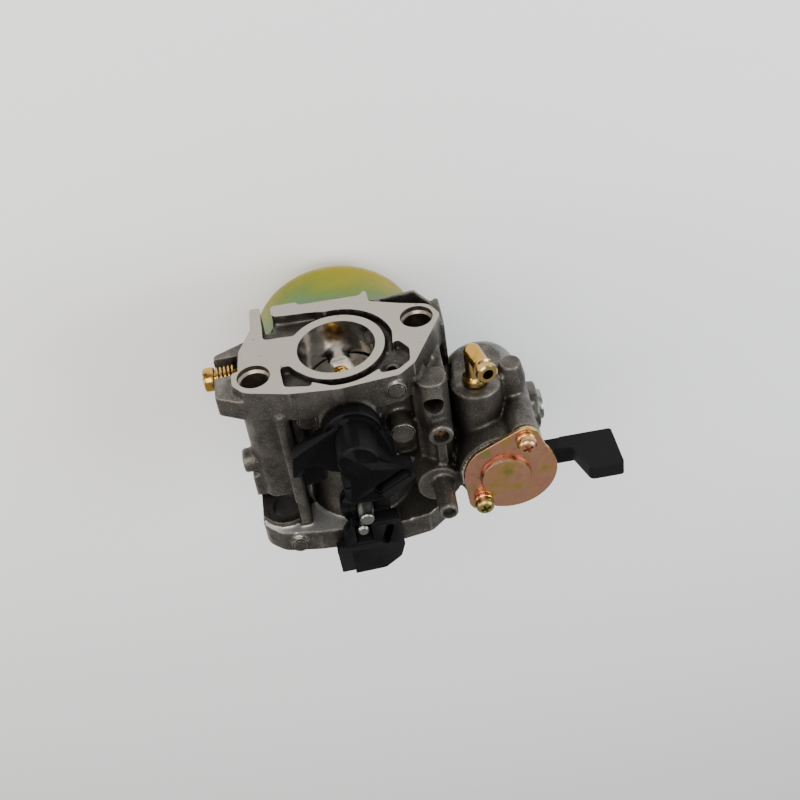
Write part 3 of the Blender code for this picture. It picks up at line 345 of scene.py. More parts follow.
# ---- shader tools -----------------------------------------------------------
class Canvas:
    """A node tree that is filled by name: a material's own, or a shared node group's."""

    def __init__(self, tree: bpy.types.NodeTree) -> None:
        """Starts on a tree."""
        self.tree = tree

    def node(self, kind: str, **settings: object) -> bpy.types.Node:
        """Adds a node and sets its properties."""
        made = self.tree.nodes.new(kind)
        for key, value in settings.items():
            setattr(made, key, value)
        return made

    def link(self, source: bpy.types.NodeSocket, target: bpy.types.NodeSocket) -> None:
        """Joins two sockets."""
        self.tree.links.new(source, target)

    def noise(
        self,
        place: bpy.types.NodeSocket,
        scale: float | bpy.types.NodeSocket,
        detail: float = 3.0,
        rough: float = 0.5,
    ) -> bpy.types.NodeSocket:
        """A noise pattern's value, at a number of features per metre."""
        made = self.node("ShaderNodeTexNoise")
        self.link(place, made.inputs["Vector"])
        if isinstance(scale, bpy.types.NodeSocket):
            self.link(scale, made.inputs["Scale"])
        else:
            made.inputs["Scale"].default_value = scale
        made.inputs["Detail"].default_value = detail
        made.inputs["Roughness"].default_value = rough
        return made.outputs["Fac"]

    def spread(
        self, value: bpy.types.NodeSocket, low: float, high: float, to_low: float = 0.0, to_high: float = 1.0
    ) -> bpy.types.NodeSocket:
        """Stretches a value from one range to another."""
        made = self.node("ShaderNodeMapRange")
        self.link(value, made.inputs["Value"])
        for key, number in zip(("From Min", "From Max", "To Min", "To Max"), (low, high, to_low, to_high)):
            made.inputs[key].default_value = number
        return made.outputs["Result"]

    def math(self, operation: str, *values: float | bpy.types.NodeSocket) -> bpy.types.NodeSocket:
        """One sum, product or other operation on numbers and sockets."""
        made = self.node("ShaderNodeMath", operation=operation)
        for socket, value in zip(made.inputs, values):
            if isinstance(value, bpy.types.NodeSocket):
                self.link(value, socket)
            else:
                socket.default_value = value
        return made.outputs["Value"]

    def blend(
        self,
        share: bpy.types.NodeSocket,
        first: Sequence[float] | bpy.types.NodeSocket,
        second: Sequence[float] | bpy.types.NodeSocket,
        mode: str = "MIX",
    ) -> bpy.types.NodeSocket:
        """A colour between two colours."""
        made = self.node("ShaderNodeMix", data_type="RGBA", blend_type=mode)
        self.link(share, made.inputs["Factor"])
        for name, value in (("A", first), ("B", second)):
            socket = next(s for s in made.inputs if s.name == name and s.type == "RGBA")
            if isinstance(value, bpy.types.NodeSocket):
                self.link(value, socket)
            else:
                socket.default_value = (*value, 1.0)
        return next(s for s in made.outputs if s.type == "RGBA")

    def ramp(
        self, value: bpy.types.NodeSocket, stops: Sequence[tuple[float, Sequence[float]]]
    ) -> bpy.types.NodeSocket:
        """A colour ramp."""
        made = self.node("ShaderNodeValToRGB")
        self.link(value, made.inputs["Fac"])
        ramp = made.color_ramp
        while len(ramp.elements) < len(stops):
            ramp.elements.new(0.5)
        for element, (place, colour) in zip(ramp.elements, stops):
            element.position = place
            element.color = (*colour, 1.0)
        return made.outputs["Color"]

    def place(self) -> bpy.types.NodeSocket:
        """The point on the piece, in metres."""
        return self.node("ShaderNodeTexCoord").outputs["Object"]


def shared_group(
    name: str,
    inputs: Sequence[tuple[str, float]],
    outputs: Sequence[tuple[str, str]],
    fill: Callable[[Canvas, bpy.types.Node, bpy.types.Node], None],
) -> bpy.types.NodeTree:
    """Builds a shader node group once.

    Args:
        name: The group's name.
        inputs: Each number that a material may set, with its default.
        outputs: Each output's name and socket type.
        fill: Draws the group's inside between its input and output nodes.

    Returns:
        The group's tree.
    """
    if name in bpy.data.node_groups:
        return bpy.data.node_groups[name]
    tree = bpy.data.node_groups.new(name, "ShaderNodeTree")
    for label, default in inputs:
        tree.interface.new_socket(
            label, in_out="INPUT", socket_type="NodeSocketFloat"
        ).default_value = default
    for label, kind in outputs:
        tree.interface.new_socket(label, in_out="OUTPUT", socket_type=kind)
    canvas = Canvas(tree)
    fill(canvas, canvas.node("NodeGroupInput"), canvas.node("NodeGroupOutput"))
    return tree


def fill_cast_grain(canvas: Canvas, given: bpy.types.Node, out: bpy.types.Node) -> None:
    """Sand-like pits and bright specks of a die-cast skin."""
    place = canvas.place()
    coarse = canvas.noise(place, given.outputs["Blotch scale"], 4.0, 0.6)
    fine = canvas.noise(place, given.outputs["Grain scale"], 2.0, 0.7)
    canvas.link(canvas.spread(coarse, 0.35, 0.68), out.inputs["Blotch"])
    canvas.link(canvas.spread(fine, 0.57, 0.72), out.inputs["Specks"])
    lumps = canvas.math("ADD", canvas.math("MULTIPLY", coarse, 0.6), fine)
    canvas.link(lumps, out.inputs["Height"])


def fill_edge_wear_and_corner_shade(canvas: Canvas, given: bpy.types.Node, out: bpy.types.Node) -> None:
    """Rubbed edges from the mesh's own curvature, and painted shade in its concave corners."""
    point = canvas.node("ShaderNodeNewGeometry").outputs["Pointiness"]
    broken = canvas.noise(canvas.place(), given.outputs["Scale"], 3.0, 0.6)
    raised = canvas.math("ADD", point, canvas.math("MULTIPLY", canvas.math("SUBTRACT", broken, 0.5), 0.06))
    canvas.link(
        canvas.math("MULTIPLY", canvas.spread(raised, 0.515, 0.60), given.outputs["Amount"]),
        out.inputs["Edge"],
    )
    # painted shade: concave places get a darkening mask
    canvas.link(
        canvas.math("MULTIPLY", canvas.spread(point, 0.485, 0.43), given.outputs["Amount"]),
        out.inputs["Corner shade"],
    )


def fill_occlusion_shade(canvas: Canvas, given: bpy.types.Node, out: bpy.types.Node) -> None:
    """Painted shade: darkens where the surface is closed in, from ambient occlusion broken by noise."""
    shade = canvas.node("ShaderNodeAmbientOcclusion", samples=8)
    canvas.link(given.outputs["Reach"], shade.inputs["Distance"])
    # the occlusion is turned into a painted-shade mask
    closed = canvas.spread(shade.outputs["AO"], 0.95, 0.35)
    broken = canvas.spread(canvas.noise(canvas.place(), 320.0, 4.0, 0.6), 0.3, 0.7, 0.7, 1.1)
    canvas.link(
        canvas.math("MULTIPLY", canvas.math("MULTIPLY", closed, broken), given.outputs["Amount"]),
        out.inputs["Mask"],
    )


def fill_dust(canvas: Canvas, given: bpy.types.Node, out: bpy.types.Node) -> None:
    """Fine lint and handling marks."""
    place = canvas.place()
    specks = canvas.spread(canvas.noise(place, given.outputs["Scale"], 2.0, 0.8), 0.66, 0.74)
    smears = canvas.spread(canvas.noise(place, 90.0, 4.0, 0.6), 0.45, 0.75)
    canvas.link(canvas.math("MULTIPLY", specks, given.outputs["Amount"]), out.inputs["Specks"])
    canvas.link(canvas.math("MULTIPLY", smears, given.outputs["Amount"]), out.inputs["Smears"])


def fill_tool_marks(canvas: Canvas, given: bpy.types.Node, out: bpy.types.Node) -> None:
    """Fine lines that a cutter leaves, straight along X and slightly broken."""
    mapping = canvas.node("ShaderNodeMapping")
    mapping.inputs["Scale"].default_value = (0.04, 1.0, 1.0)
    canvas.link(canvas.place(), mapping.inputs["Vector"])
    lines = canvas.noise(mapping.outputs["Vector"], given.outputs["Scale"], 2.0, 0.6)
    canvas.link(lines, out.inputs["Lines"])


def cast_grain() -> bpy.types.NodeTree:
    """The shared die-cast grain."""
    kinds = (("Blotch", "NodeSocketFloat"), ("Specks", "NodeSocketFloat"), ("Height", "NodeSocketFloat"))
    return shared_group(
        "cast_grain", (("Blotch scale", 220.0), ("Grain scale", 2400.0)), kinds, fill_cast_grain
    )


def edge_wear_and_corner_shade() -> bpy.types.NodeTree:
    """The shared edge wear and painted corner shade."""
    kinds = (("Edge", "NodeSocketFloat"), ("Corner shade", "NodeSocketFloat"))
    return shared_group("edge_wear_and_corner_shade", (("Scale", 600.0), ("Amount", 1.0)), kinds, fill_edge_wear_and_corner_shade)


def occlusion_shade() -> bpy.types.NodeTree:
    """The shared painted shade in closed-in places."""
    return shared_group(
        "occlusion_shade", (("Reach", 0.004), ("Amount", 1.0)), (("Mask", "NodeSocketFloat"),), fill_occlusion_shade
    )


def dust() -> bpy.types.NodeTree:
    """The shared dust."""
    kinds = (("Specks", "NodeSocketFloat"), ("Smears", "NodeSocketFloat"))
    return shared_group("dust", (("Scale", 1500.0), ("Amount", 1.0)), kinds, fill_dust)


def tool_marks() -> bpy.types.NodeTree:
    """The shared machining lines."""
    return shared_group(
        "tool_marks", (("Scale", 4000.0),), (("Lines", "NodeSocketFloat"),), fill_tool_marks
    )


class Finish:
    """A finish: it makes its material once and paints pieces with it."""

    name: str = "finish"

    def build(self, canvas: Canvas, shader: bpy.types.Node) -> None:
        """Draws the finish's own nodes."""
        raise NotImplementedError

    def use(self, canvas: Canvas, tree: bpy.types.NodeTree, **values: float) -> bpy.types.Node:
        """Places a shared group with this finish's values."""
        made = canvas.node("ShaderNodeGroup", node_tree=tree)
        for key, value in values.items():
            made.inputs[key.replace("_", " ").capitalize()].default_value = value
        return made

    def bump(
        self,
        canvas: Canvas,
        shader: bpy.types.Node,
        height: bpy.types.NodeSocket,
        strength: float,
        depth: float,
    ) -> None:
        """Lets a height lift the surface, with its depth in mm."""
        made = canvas.node("ShaderNodeBump")
        made.inputs["Strength"].default_value = strength
        made.inputs["Distance"].default_value = depth * MM
        canvas.link(height, made.inputs["Height"])
        canvas.link(made.outputs["Normal"], shader.inputs["Normal"])

    def material(self) -> bpy.types.Material:
        """The finish's material, made at its first use."""
        if self.name in bpy.data.materials:
            return bpy.data.materials[self.name]
        made = bpy.data.materials.new(self.name)
        made.use_nodes = True
        self.build(Canvas(made.node_tree), made.node_tree.nodes["Principled BSDF"])
        return made

    def paint(self, obj: bpy.types.Object) -> bpy.types.Object:
        """Gives a piece this finish all over."""
        obj.data.materials.clear()
        obj.data.materials.append(self.material())
        return obj


@dataclass(frozen=True)
class CastAluminium(Finish):
    """Die-cast aluminium: a warm grey skin with specks and rubbed edges, and painted shade in its concave
    corners and closed-in places.
    """

    name: str = "cast_aluminium_skin"
    dark: Point = (0.046, 0.042, 0.036)
    pale: Point = (0.112, 0.102, 0.088)
    speck: Point = (0.30, 0.28, 0.25)
    # corner is the colour of the painted shade in concave corners and closed-in places
    corner: Point = (0.012, 0.010, 0.008)
    # how strongly the painted shade darkens closed-in places
    occluded_shade: float = 0.9
    roughness: Spot = (0.36, 0.56)
    metallic: float = 0.85
    depth: float = 0.035

    def build(self, canvas: Canvas, shader: bpy.types.Node) -> None:
        """Draws the cast skin."""
        grain = self.use(canvas, cast_grain(), blotch_scale=210.0, grain_scale=2600.0)
        wear_and_shade = self.use(canvas, edge_wear_and_corner_shade(), scale=700.0, amount=0.75)
        occluded_shade = self.use(canvas, occlusion_shade(), reach=0.005, amount=self.occluded_shade)
        colour = canvas.blend(grain.outputs["Blotch"], self.dark, self.pale)
        colour = canvas.blend(canvas.math("MULTIPLY", grain.outputs["Specks"], 0.6), colour, self.speck)
        # painted shade where the surface is closed in
        colour = canvas.blend(occluded_shade.outputs["Mask"], colour, self.corner)
        # painted shade in the concave corners
        colour = canvas.blend(wear_and_shade.outputs["Corner shade"], colour, self.corner)
        colour = canvas.blend(wear_and_shade.outputs["Edge"], colour, self.speck)
        canvas.link(colour, shader.inputs["Base Color"])
        shader.inputs["Metallic"].default_value = self.metallic
        canvas.link(
            canvas.spread(grain.outputs["Blotch"], 0, 1, self.roughness[1], self.roughness[0]),
            shader.inputs["Roughness"],
        )
        self.bump(canvas, shader, grain.outputs["Height"], 0.7, self.depth)


@dataclass(frozen=True)
class MachinedAluminium(Finish):
    """A milled sealing face: pale, faintly lined, with small dark pits."""

    name: str = "machined_face"
    colour: Point = (0.36, 0.330, 0.285)
    pit: Point = (0.10, 0.09, 0.08)

    def build(self, canvas: Canvas, shader: bpy.types.Node) -> None:
        """Draws the milled face."""
        marks = self.use(canvas, tool_marks(), scale=3800.0)
        specks = self.use(canvas, dust(), scale=420.0, amount=1.0)
        shade = canvas.blend(
            canvas.spread(marks.outputs["Lines"], 0.3, 0.7), [c * 0.9 for c in self.colour], self.colour
        )
        shade = canvas.blend(specks.outputs["Specks"], shade, self.pit)
        canvas.link(shade, shader.inputs["Base Color"])
        shader.inputs["Metallic"].default_value = 0.35
        canvas.link(canvas.spread(marks.outputs["Lines"], 0.2, 0.8, 0.5, 0.62), shader.inputs["Roughness"])
        self.bump(canvas, shader, marks.outputs["Lines"], 0.25, 0.01)


@dataclass(frozen=True)
class PolishedBore(Finish):
    """A bore that a reamer has left bright."""

    name: str = "polished_bore"
    bright: Point = (0.44, 0.45, 0.46)
    warm: Point = (0.27, 0.245, 0.22)
    roughness: Spot = (0.10, 0.26)

    def build(self, canvas: Canvas, shader: bpy.types.Node) -> None:
        """Draws the bright bore with its brown and blue patches."""
        place = canvas.place()
        patch = canvas.noise(place, 110.0, 3.0, 0.6)
        colour = canvas.blend(canvas.spread(patch, 0.38, 0.62), self.warm, self.bright)
        canvas.link(colour, shader.inputs["Base Color"])
        shader.inputs["Metallic"].default_value = 1.0
        canvas.link(
            canvas.spread(canvas.noise(place, 500.0), 0.3, 0.7, *self.roughness), shader.inputs["Roughness"]
        )
        marks = canvas.node("ShaderNodeMapping")
        marks.inputs["Scale"].default_value = (0.05, 1.0, 0.05)
        canvas.link(place, marks.inputs["Vector"])
        self.bump(canvas, shader, canvas.noise(marks.outputs["Vector"], 5200.0), 0.12, 0.01)


@dataclass(frozen=True)
class RainbowZinc(Finish):
    """Yellow zinc passivate, whose thin film shifts between gold, pink and green."""

    name: str = "yellow_zinc"
    stops: tuple[tuple[float, Point], ...] = (
        (0.30, (0.20, 0.22, 0.06)),
        (0.42, (0.46, 0.29, 0.09)),
        (0.50, (0.52, 0.27, 0.15)),
        (0.60, (0.52, 0.24, 0.17)),
        (0.72, (0.29, 0.26, 0.08)),
    )
    scale: float = 120.0
    roughness: Spot = (0.22, 0.40)
    stain: Point = (0.09, 0.075, 0.03)

    def build(self, canvas: Canvas, shader: bpy.types.Node) -> None:
        """Draws the passivate with small stains."""
        place = canvas.place()
        colour = canvas.ramp(canvas.noise(place, self.scale, 2.0, 0.55), self.stops)
        marks = self.use(canvas, dust(), scale=650.0, amount=0.7)
        wear_and_shade = self.use(canvas, edge_wear_and_corner_shade(), scale=900.0, amount=0.28)
        colour = canvas.blend(marks.outputs["Specks"], colour, self.stain)
        colour = canvas.blend(wear_and_shade.outputs["Edge"], colour, (0.56, 0.46, 0.26))
        canvas.link(colour, shader.inputs["Base Color"])
        shader.inputs["Metallic"].default_value = 1.0
        canvas.link(
            canvas.spread(canvas.noise(place, 700.0), 0.3, 0.7, *self.roughness), shader.inputs["Roughness"]
        )
        self.bump(canvas, shader, canvas.noise(place, 1800.0, 3.0), 0.12, 0.02)


@dataclass(frozen=True)
class BowlZinc(Finish):
    """The bowl's passivate: yellow at the rim that turns green and blue in bands."""

    name: str = "bowl_zinc"

    def build(self, canvas: Canvas, shader: bpy.types.Node) -> None:
        """Draws the broad bands and fine scratches."""
        place = canvas.place()
        split = canvas.node("ShaderNodeSeparateXYZ")
        canvas.link(place, split.inputs["Vector"])
        height = canvas.spread(split.outputs["Z"], -0.041, -0.021)
        wander = canvas.spread(canvas.noise(place, 45.0, 2.0), 0.3, 0.7, -0.22, 0.22)
        band = canvas.math("ADD", canvas.math("ADD", height, wander), 0.0)
        colour = canvas.ramp(
            band,
            (
                (0.0, (0.36, 0.25, 0.004)),
                (0.22, (0.31, 0.24, 0.005)),
                (0.45, (0.22, 0.21, 0.007)),
                (0.66, (0.12, 0.18, 0.022)),
                (0.85, (0.08, 0.17, 0.075)),
                (1.0, (0.28, 0.17, 0.02)),
            ),
        )
        marks = self.use(canvas, dust(), scale=900.0, amount=0.6)
        colour = canvas.blend(marks.outputs["Specks"], colour, (0.16, 0.10, 0.03))
        canvas.link(colour, shader.inputs["Base Color"])
        shader.inputs["Metallic"].default_value = 0.9
        canvas.link(
            canvas.spread(canvas.noise(place, 500.0), 0.3, 0.7, 0.30, 0.42), shader.inputs["Roughness"]
        )
        self.bump(canvas, shader, canvas.noise(place, 1500.0, 3.0), 0.08, 0.02)


@dataclass(frozen=True)
class PlainMetal(Finish):
    """A bare or clear-plated metal with blotches, specks and rubbed edges."""

    name: str = "clear_zinc"
    dark: Point = (0.10, 0.105, 0.10)
    pale: Point = (0.20, 0.20, 0.185)
    edge: Point = (0.34, 0.33, 0.31)
    roughness: Spot = (0.28, 0.42)

    def build(self, canvas: Canvas, shader: bpy.types.Node) -> None:
        """Draws the blotched metal."""
        grain = self.use(canvas, cast_grain(), blotch_scale=260.0, grain_scale=3000.0)
        wear_and_shade = self.use(canvas, edge_wear_and_corner_shade(), scale=900.0, amount=0.7)
        colour = canvas.blend(grain.outputs["Blotch"], self.dark, self.pale)
        colour = canvas.blend(wear_and_shade.outputs["Edge"], colour, self.edge)
        canvas.link(colour, shader.inputs["Base Color"])
        shader.inputs["Metallic"].default_value = 1.0
        canvas.link(
            canvas.spread(grain.outputs["Blotch"], 0, 1, *self.roughness), shader.inputs["Roughness"]
        )
        self.bump(canvas, shader, grain.outputs["Height"], 0.2, 0.01)


@dataclass(frozen=True)
class MouldedPlastic(Finish):
    """Black glass-filled plastic: fine texture, faint dust and grey rubbed edges."""

    name: str = "moulded_black"
    colour: Point = (0.0022, 0.0022, 0.0024)
    edge: Point = (0.014, 0.014, 0.015)
    roughness: Spot = (0.40, 0.52)
    depth: float = 0.02
    shine: float = 0.045

    def build(self, canvas: Canvas, shader: bpy.types.Node) -> None:
        """Draws the moulded skin."""
        place = canvas.place()
        wear_and_shade = self.use(canvas, edge_wear_and_corner_shade(), scale=500.0, amount=0.55)
        lint = self.use(canvas, dust(), scale=1300.0, amount=0.35)
        colour = canvas.blend(wear_and_shade.outputs["Edge"], self.colour, self.edge)
        colour = canvas.blend(lint.outputs["Specks"], colour, (0.035, 0.033, 0.030))
        canvas.link(colour, shader.inputs["Base Color"])
        shader.inputs["Specular IOR Level"].default_value = self.shine
        rough = canvas.spread(
            canvas.math("ADD", canvas.noise(place, 300.0), lint.outputs["Smears"]),
            0.3,
            0.9,
            *self.roughness,
        )
        canvas.link(rough, shader.inputs["Roughness"])
        self.bump(canvas, shader, canvas.noise(place, 3200.0, 2.0), 0.3, self.depth)


CAST = CastAluminium()
# the blasted floor keeps only a weak painted shade in its closed-in places
BLASTED = CastAluminium(
    name="blasted_floor", dark=(0.30, 0.30, 0.29), pale=(
        0.50, 0.50, 0.485
    ), speck=(0.90, 0.90, 0.90), occluded_shade=0.25, depth=0.06
)
# near-black painted shade for the inner walls of the deep stud holes
SHADED_HOLE = CastAluminium(
    name="painted_shade_hole", dark=(0.012, 0.011, 0.010), pale=(0.03, 0.028, 0.025), speck=(0.08, 0.075, 0.07)
)
DRILLED = PolishedBore(
    name="drilled_hole", bright=(0.42, 0.37, 0.31), warm=(0.17, 0.145, 0.12), roughness=(0.30, 0.45)
)
MACHINED = MachinedAluminium()
POLISHED = PolishedBore()
YELLOW_ZINC = RainbowZinc()
GOLD_ZINC = RainbowZinc(
    name="gold_zinc",
    stops=(
        (0.30, (0.30, 0.16, 0.02)),
        (0.45, (0.50, 0.29, 0.05)),
        (0.55, (0.44, 0.24, 0.09)),
        (0.66, (0.36, 0.33, 0.08)),
    ),
    scale=240.0,
    roughness=(0.14, 0.28),
)
CLEAR_ZINC = PlainMetal()
STEEL = PlainMetal(name="plain_steel", dark=(0.20, 0.19, 0.18), pale=(0.36, 0.35, 0.34))
BRASS = PlainMetal(
    name="turned_brass", dark=(0.38, 0.20, 0.05), pale=(0.62, 0.40, 0.13), edge=(0.80, 0.60, 0.28),
    roughness=(0.18, 0.32),
)
PALE_BRASS = PlainMetal(
    name="pale_brass", dark=(
        0.26, 0.245, 0.22
    ), pale=(0.44, 0.42, 0.38), edge=(0.60, 0.57, 0.50), roughness=(0.10, 0.22)
)
BLACK = MouldedPlastic()
GLOSS_BLACK = MouldedPlastic(name="gloss_black_plastic", roughness=(0.16, 0.30), depth=0.008, shine=0.09)
RUBBER = MouldedPlastic(name="seal_rubber", colour=(0.014, 0.014, 0.014), roughness=(0.65, 0.8))


def finish_piece(
    obj: bpy.types.Object, look: Finish | None, body: str, stands_for: Sequence[
        str
    ], angle: float = 32.0
) -> bpy.types.Object:
    """Shades, paints and hangs a finished piece.

    Args:
        obj: The finished mesh.
        look: Its finish, or None where its faces are painted already.
        body: The moving body it rides on.
        stands_for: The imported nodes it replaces.
        angle: The angle in degrees above which an edge stays sharp.

    Returns:
        The same object.
    """
    if look is not None:
        look.paint(obj)
    smooth(obj, angle)
    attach(obj, body)
    if stands_for:
        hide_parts(*stands_for)
    LOG.info("%s: %d faces on %s", obj.name, len(obj.data.polygons), body)
    return obj


# ---- the casting ------------------------------------------------------------
@dataclass
class BodyCasting:
    """The die-cast body.

    Its raw skin is blended from rough lumps, and then its faces and bores are machined.
    """

    skin: float = 0.42
    blend_rounds: int = 5
    flange: float = 8.5
    wall: float = 13.0
    bore_marks: list[tuple[Point, float]] = field(
        default_factory=lambda: [
            ((12.1, -18.1, 15.0), 2.6),
            ((12.3, -4.2, 14.9), 1.9),
            ((-9.9, -10.8, 13.0), 1.9),
            ((-18.0, -49.4, 15.8), 1.9),
        ]
    )

    def engine_flange(self) -> bpy.types.Object:
        """The engine flange, 1 mm thick to spare in front, with its pocket."""
        outline = rounded(
            [
                (-20.0, -19.8, 0.4), (-17.3, -19.8, 0.4), (-17.3, -13.0, 0.0), (-14.8, -13.0, 0.0),
                (-14.8, -19.6, 0.8), (-8.2, -19.6, 0.6), (-7.8, -18.3, 0.4), (8.0, -17.9, 0.3),
                (8.1, -19.3, 0.3), (9.3, -19.3, 0.3), (9.5, -15.0, 0.8), (16.8, -12.1, 3.0),
                (23.7, -9.9, 3.5), (26.0, -5.4, 2.5), (17.6, 10.6, 2.0), (13.6, 14.0, 3.0),
                (-1.0, 15.3, 8.0), (-12.5, 14.0, 3.0), (-22.8, 11.0, 4.0), (-25.4, 7.7, 2.5),
                (-25.4, 3.4, 0.8), (-23.6, 3.0, 0.5), (-23.4, -4.0, 1.5), (-21.4, -8.6, 2.0),
                (-20.1, -12.0, 1.5),
            ],
            1.0,
        )
        body = plate(outline, -self.flange, 1.0, Axis.Y, name="body_casting_skin")
        ring = arc((0, 0), 11.7, 140, -146, 48)
        pocket = (
            arc((0, 0), 13.9, -95, -8, 20)
            + rounded([(14.3, 0.8), (17.0, 5.2), (16.6, 9.6), (13.4, 12.1), (8.5, 12.4)], 1.2)
            + arc((0, 0), 13.9, 62, 100, 8)
            + rounded([(-5.9, 12.9), (-13.3, 11.3), (-13.9, 4.2), (-11.6, 4.0), (-10.2, 6.2)], 0.9)
            + ring
            + [
                (-14.0, -6.9), (-16.4, -6.8), (-17.2, -7.6), (-17.2, -21.0), (-14.7, -21.0),
                (-14.7, -16.2), (-13.8, -15.3),
            ]
        )
        step = [
            (-17.4, -21.0), (-14.6, -21.0), (-14.6, -15.0), (-2.0, -15.0), (-9.0, -10.0),
            (-12.0, -7.0), (-17.4, -7.0),
        ]
        return carve(body, plate(pocket, -2.4, 3.0, Axis.Y), plate(step, -2.9, 0.0, Axis.Y))

    def end_block(self) -> bpy.types.Object:
        """The block at the flange's left end, which holds the pilot screw."""
        outline = rounded(
            [
                (-30.1, 7.2, 0.8), (-23.5, 10.8, 1.0), (-16.0, 12.0, 0.0), (-16.0, -12.0, 0.0),
                (-22.0, -12.0, 1.0), (-30.0, -8.3, 0.8),
            ],
            0.8,
        )
        return plate(outline, -self.flange - 0.6, -3.0, Axis.Y)

    def cleaner_flange(self) -> list[bpy.types.Object]:
        """The flange at the air cleaner's end."""
        outline = rounded(
            [
                (-26.4, 2.0, 2.0), (-26.7, 9.6, 5.0), (
                    -22.0, 13.6, 4.5
                ), (-13.0, 15.2, 4.0), (8.2, 16.8, 2.0),
                (15.7, 15.6, 2.5), (20.6, 11.5, 3.0), (25.6, -1.5, 3.0), (25.6, -9.6, 3.0), (
                    19.0, -14.5, 3.0
                ),
                (-14.0, -15.5, 3.0), (-22.0, -9.0, 3.0),
            ],
            2.0,
        )
        return [
            plate(outline, -53.5, -46.2, Axis.Y),
            plate(
                rounded([(-20.0, -46.6), (-26.2, -46.6), (-26.2, -30.0), (-24.0, -30.0)], 1.0), -3.0, 8.0
            ),
        ]

    def stud_columns(self) -> list[bpy.types.Object]:
        """The two columns that the studs run through, with their ridges and pads."""
        (left_x, left_z), (right_x, right_z) = STUDS
        left = rounded(
            [
                (-25.2, 1.6, 2.0), (-24.8, 7.0, 3.0), (-22.2, 10.2, 2.5), (-16.6, 10.2, 0.8),
                (-15.0, 8.0, 0.0), (-15.0, 1.6, 0.0),
            ],
            1.0,
        )
        return [
            plate(left, -36.2, -7.0, Axis.Y),
            block((left_x + 4.0, -32.0, 1.0), (-9.0, -7.0, 6.4)),
            drum((left_x, -44.2, left_z), (left_x, -49.0, left_z), 5.9),
            drum((-15.4, -7.0, 12.3), (-15.4, -43.0, 12.3), 1.7, 1.5, 24),
            ball((-15.4, -43.0, 12.3), 1.5),
            block((-16.8, -47.0, 3.0), (-14.0, -7.0, 12.2)),
            block((right_x - 4.6, -36.0, right_z - 4.4), (right_x + 4.2, -7.0, 12.0)),
            drum((right_x, -44.6, right_z), (right_x, -49.0, right_z), 5.5),
            drum((-27.7, -26.5, 5.4), (-20.0, -26.5, 5.4), 3.0, 3.3, 32),
        ]

    def right_column(self) -> list[bpy.types.Object]:
        """The column over the right stud: pilot jet boss, tall round boss and its peg."""
        return [
            drum((20.6, -4.6, 11.2), (20.6, -37.0, 11.4), 3.8, 3.7),
            block((16.9, -30.0, 4.0), (19.0, -7.0, 12.6)),
            block((9.5, -40.0, -8.0), (18.0, -7.0, 7.6)),
            drum((20.9, -18.6, 8.0), (20.9, -18.6, 17.6), 3.5, 3.1),
            block((19.6, -29.0, 12.0), (22.0, -18.6, 16.4)),
            drum((18.9, -34.2, 0.0), (18.9, -34.2, 17.8), 5.9, 5.4),
            block((10.0, -39.0, -2.0), (19.0, -31.0, 10.0)),
            drum((19.7, -33.4, 12.0), (19.7, -33.4, 28.4), 2.65, 2.35, 40),
            drum((12.1, -18.1, 0.0), (12.1, -18.1, 15.0), 3.9, 3.1, 40),
            block((9.0, -22.0, 2.0), (16.0, -8.0, 9.4)),
        ]

    def shaft_bosses(self) -> list[bpy.types.Object]:
        """The bosses of the two shafts and the small round marks on the bore's wall."""
        return [
            drum((0, THROTTLE_Y, 4.0), (0, THROTTLE_Y, 15.2), 8.6, 7.1, 64),
            block((-6.5, -12.0, 6.0), (6.5, -7.0, 13.6)),
            drum((0, CHOKE_Y, 4.0), (0, CHOKE_Y, 13.4), 6.0, 5.0),
            drum((12.3, -4.2, 8.0), (12.3, -4.2, 14.9), 2.9, 2.4, 32),
            drum((-9.9, -10.8, 3.0), (-9.9, -10.8, 13.0), 2.8, 2.4, 32),
            drum((-18.0, -49.4, 10.0), (-18.0, -49.4, 15.8), 2.6, 2.3, 32),
        ]

    def float_roof(self) -> list[bpy.types.Object]:
        """The roof of the float chamber and the webs above it."""
        pocket = [(10.4, -18.9), (21.2, -20.2), (25.4, -13.0), (24.4, -8.0), (17.0, -11.0)]
        hollow = [(11.6, -18.3), (20.8, -19.2), (24.4, -12.9), (23.6, -9.0), (17.0, -12.0)]
        box = carve(plate(pocket, -20.0, -2.6, Axis.Y), plate(hollow, -14.0, 0.0, Axis.Y))
        return [
            drum((0, BOWL_Y, -20.4), (0, BOWL_Y, -15.6), 22.6, sides=96),
            drum((0, BOWL_Y, -17.0), (0, BOWL_Y, -3.0), 18.0, 13.0, 64),
            block((10.6, -20.0, -17.0), (12.4, -7.0, -9.0)),
            block((-20.0, -20.0, -12.5), (20.0, -5.0, -8.0)),
            block((-14.0, -50.0, -14.6), (14.0, -39.5, -7.6)),
            box,
            block((25.1, -19.0, -15.0), (26.6, -2.4, -4.4), 0.4),
        ]

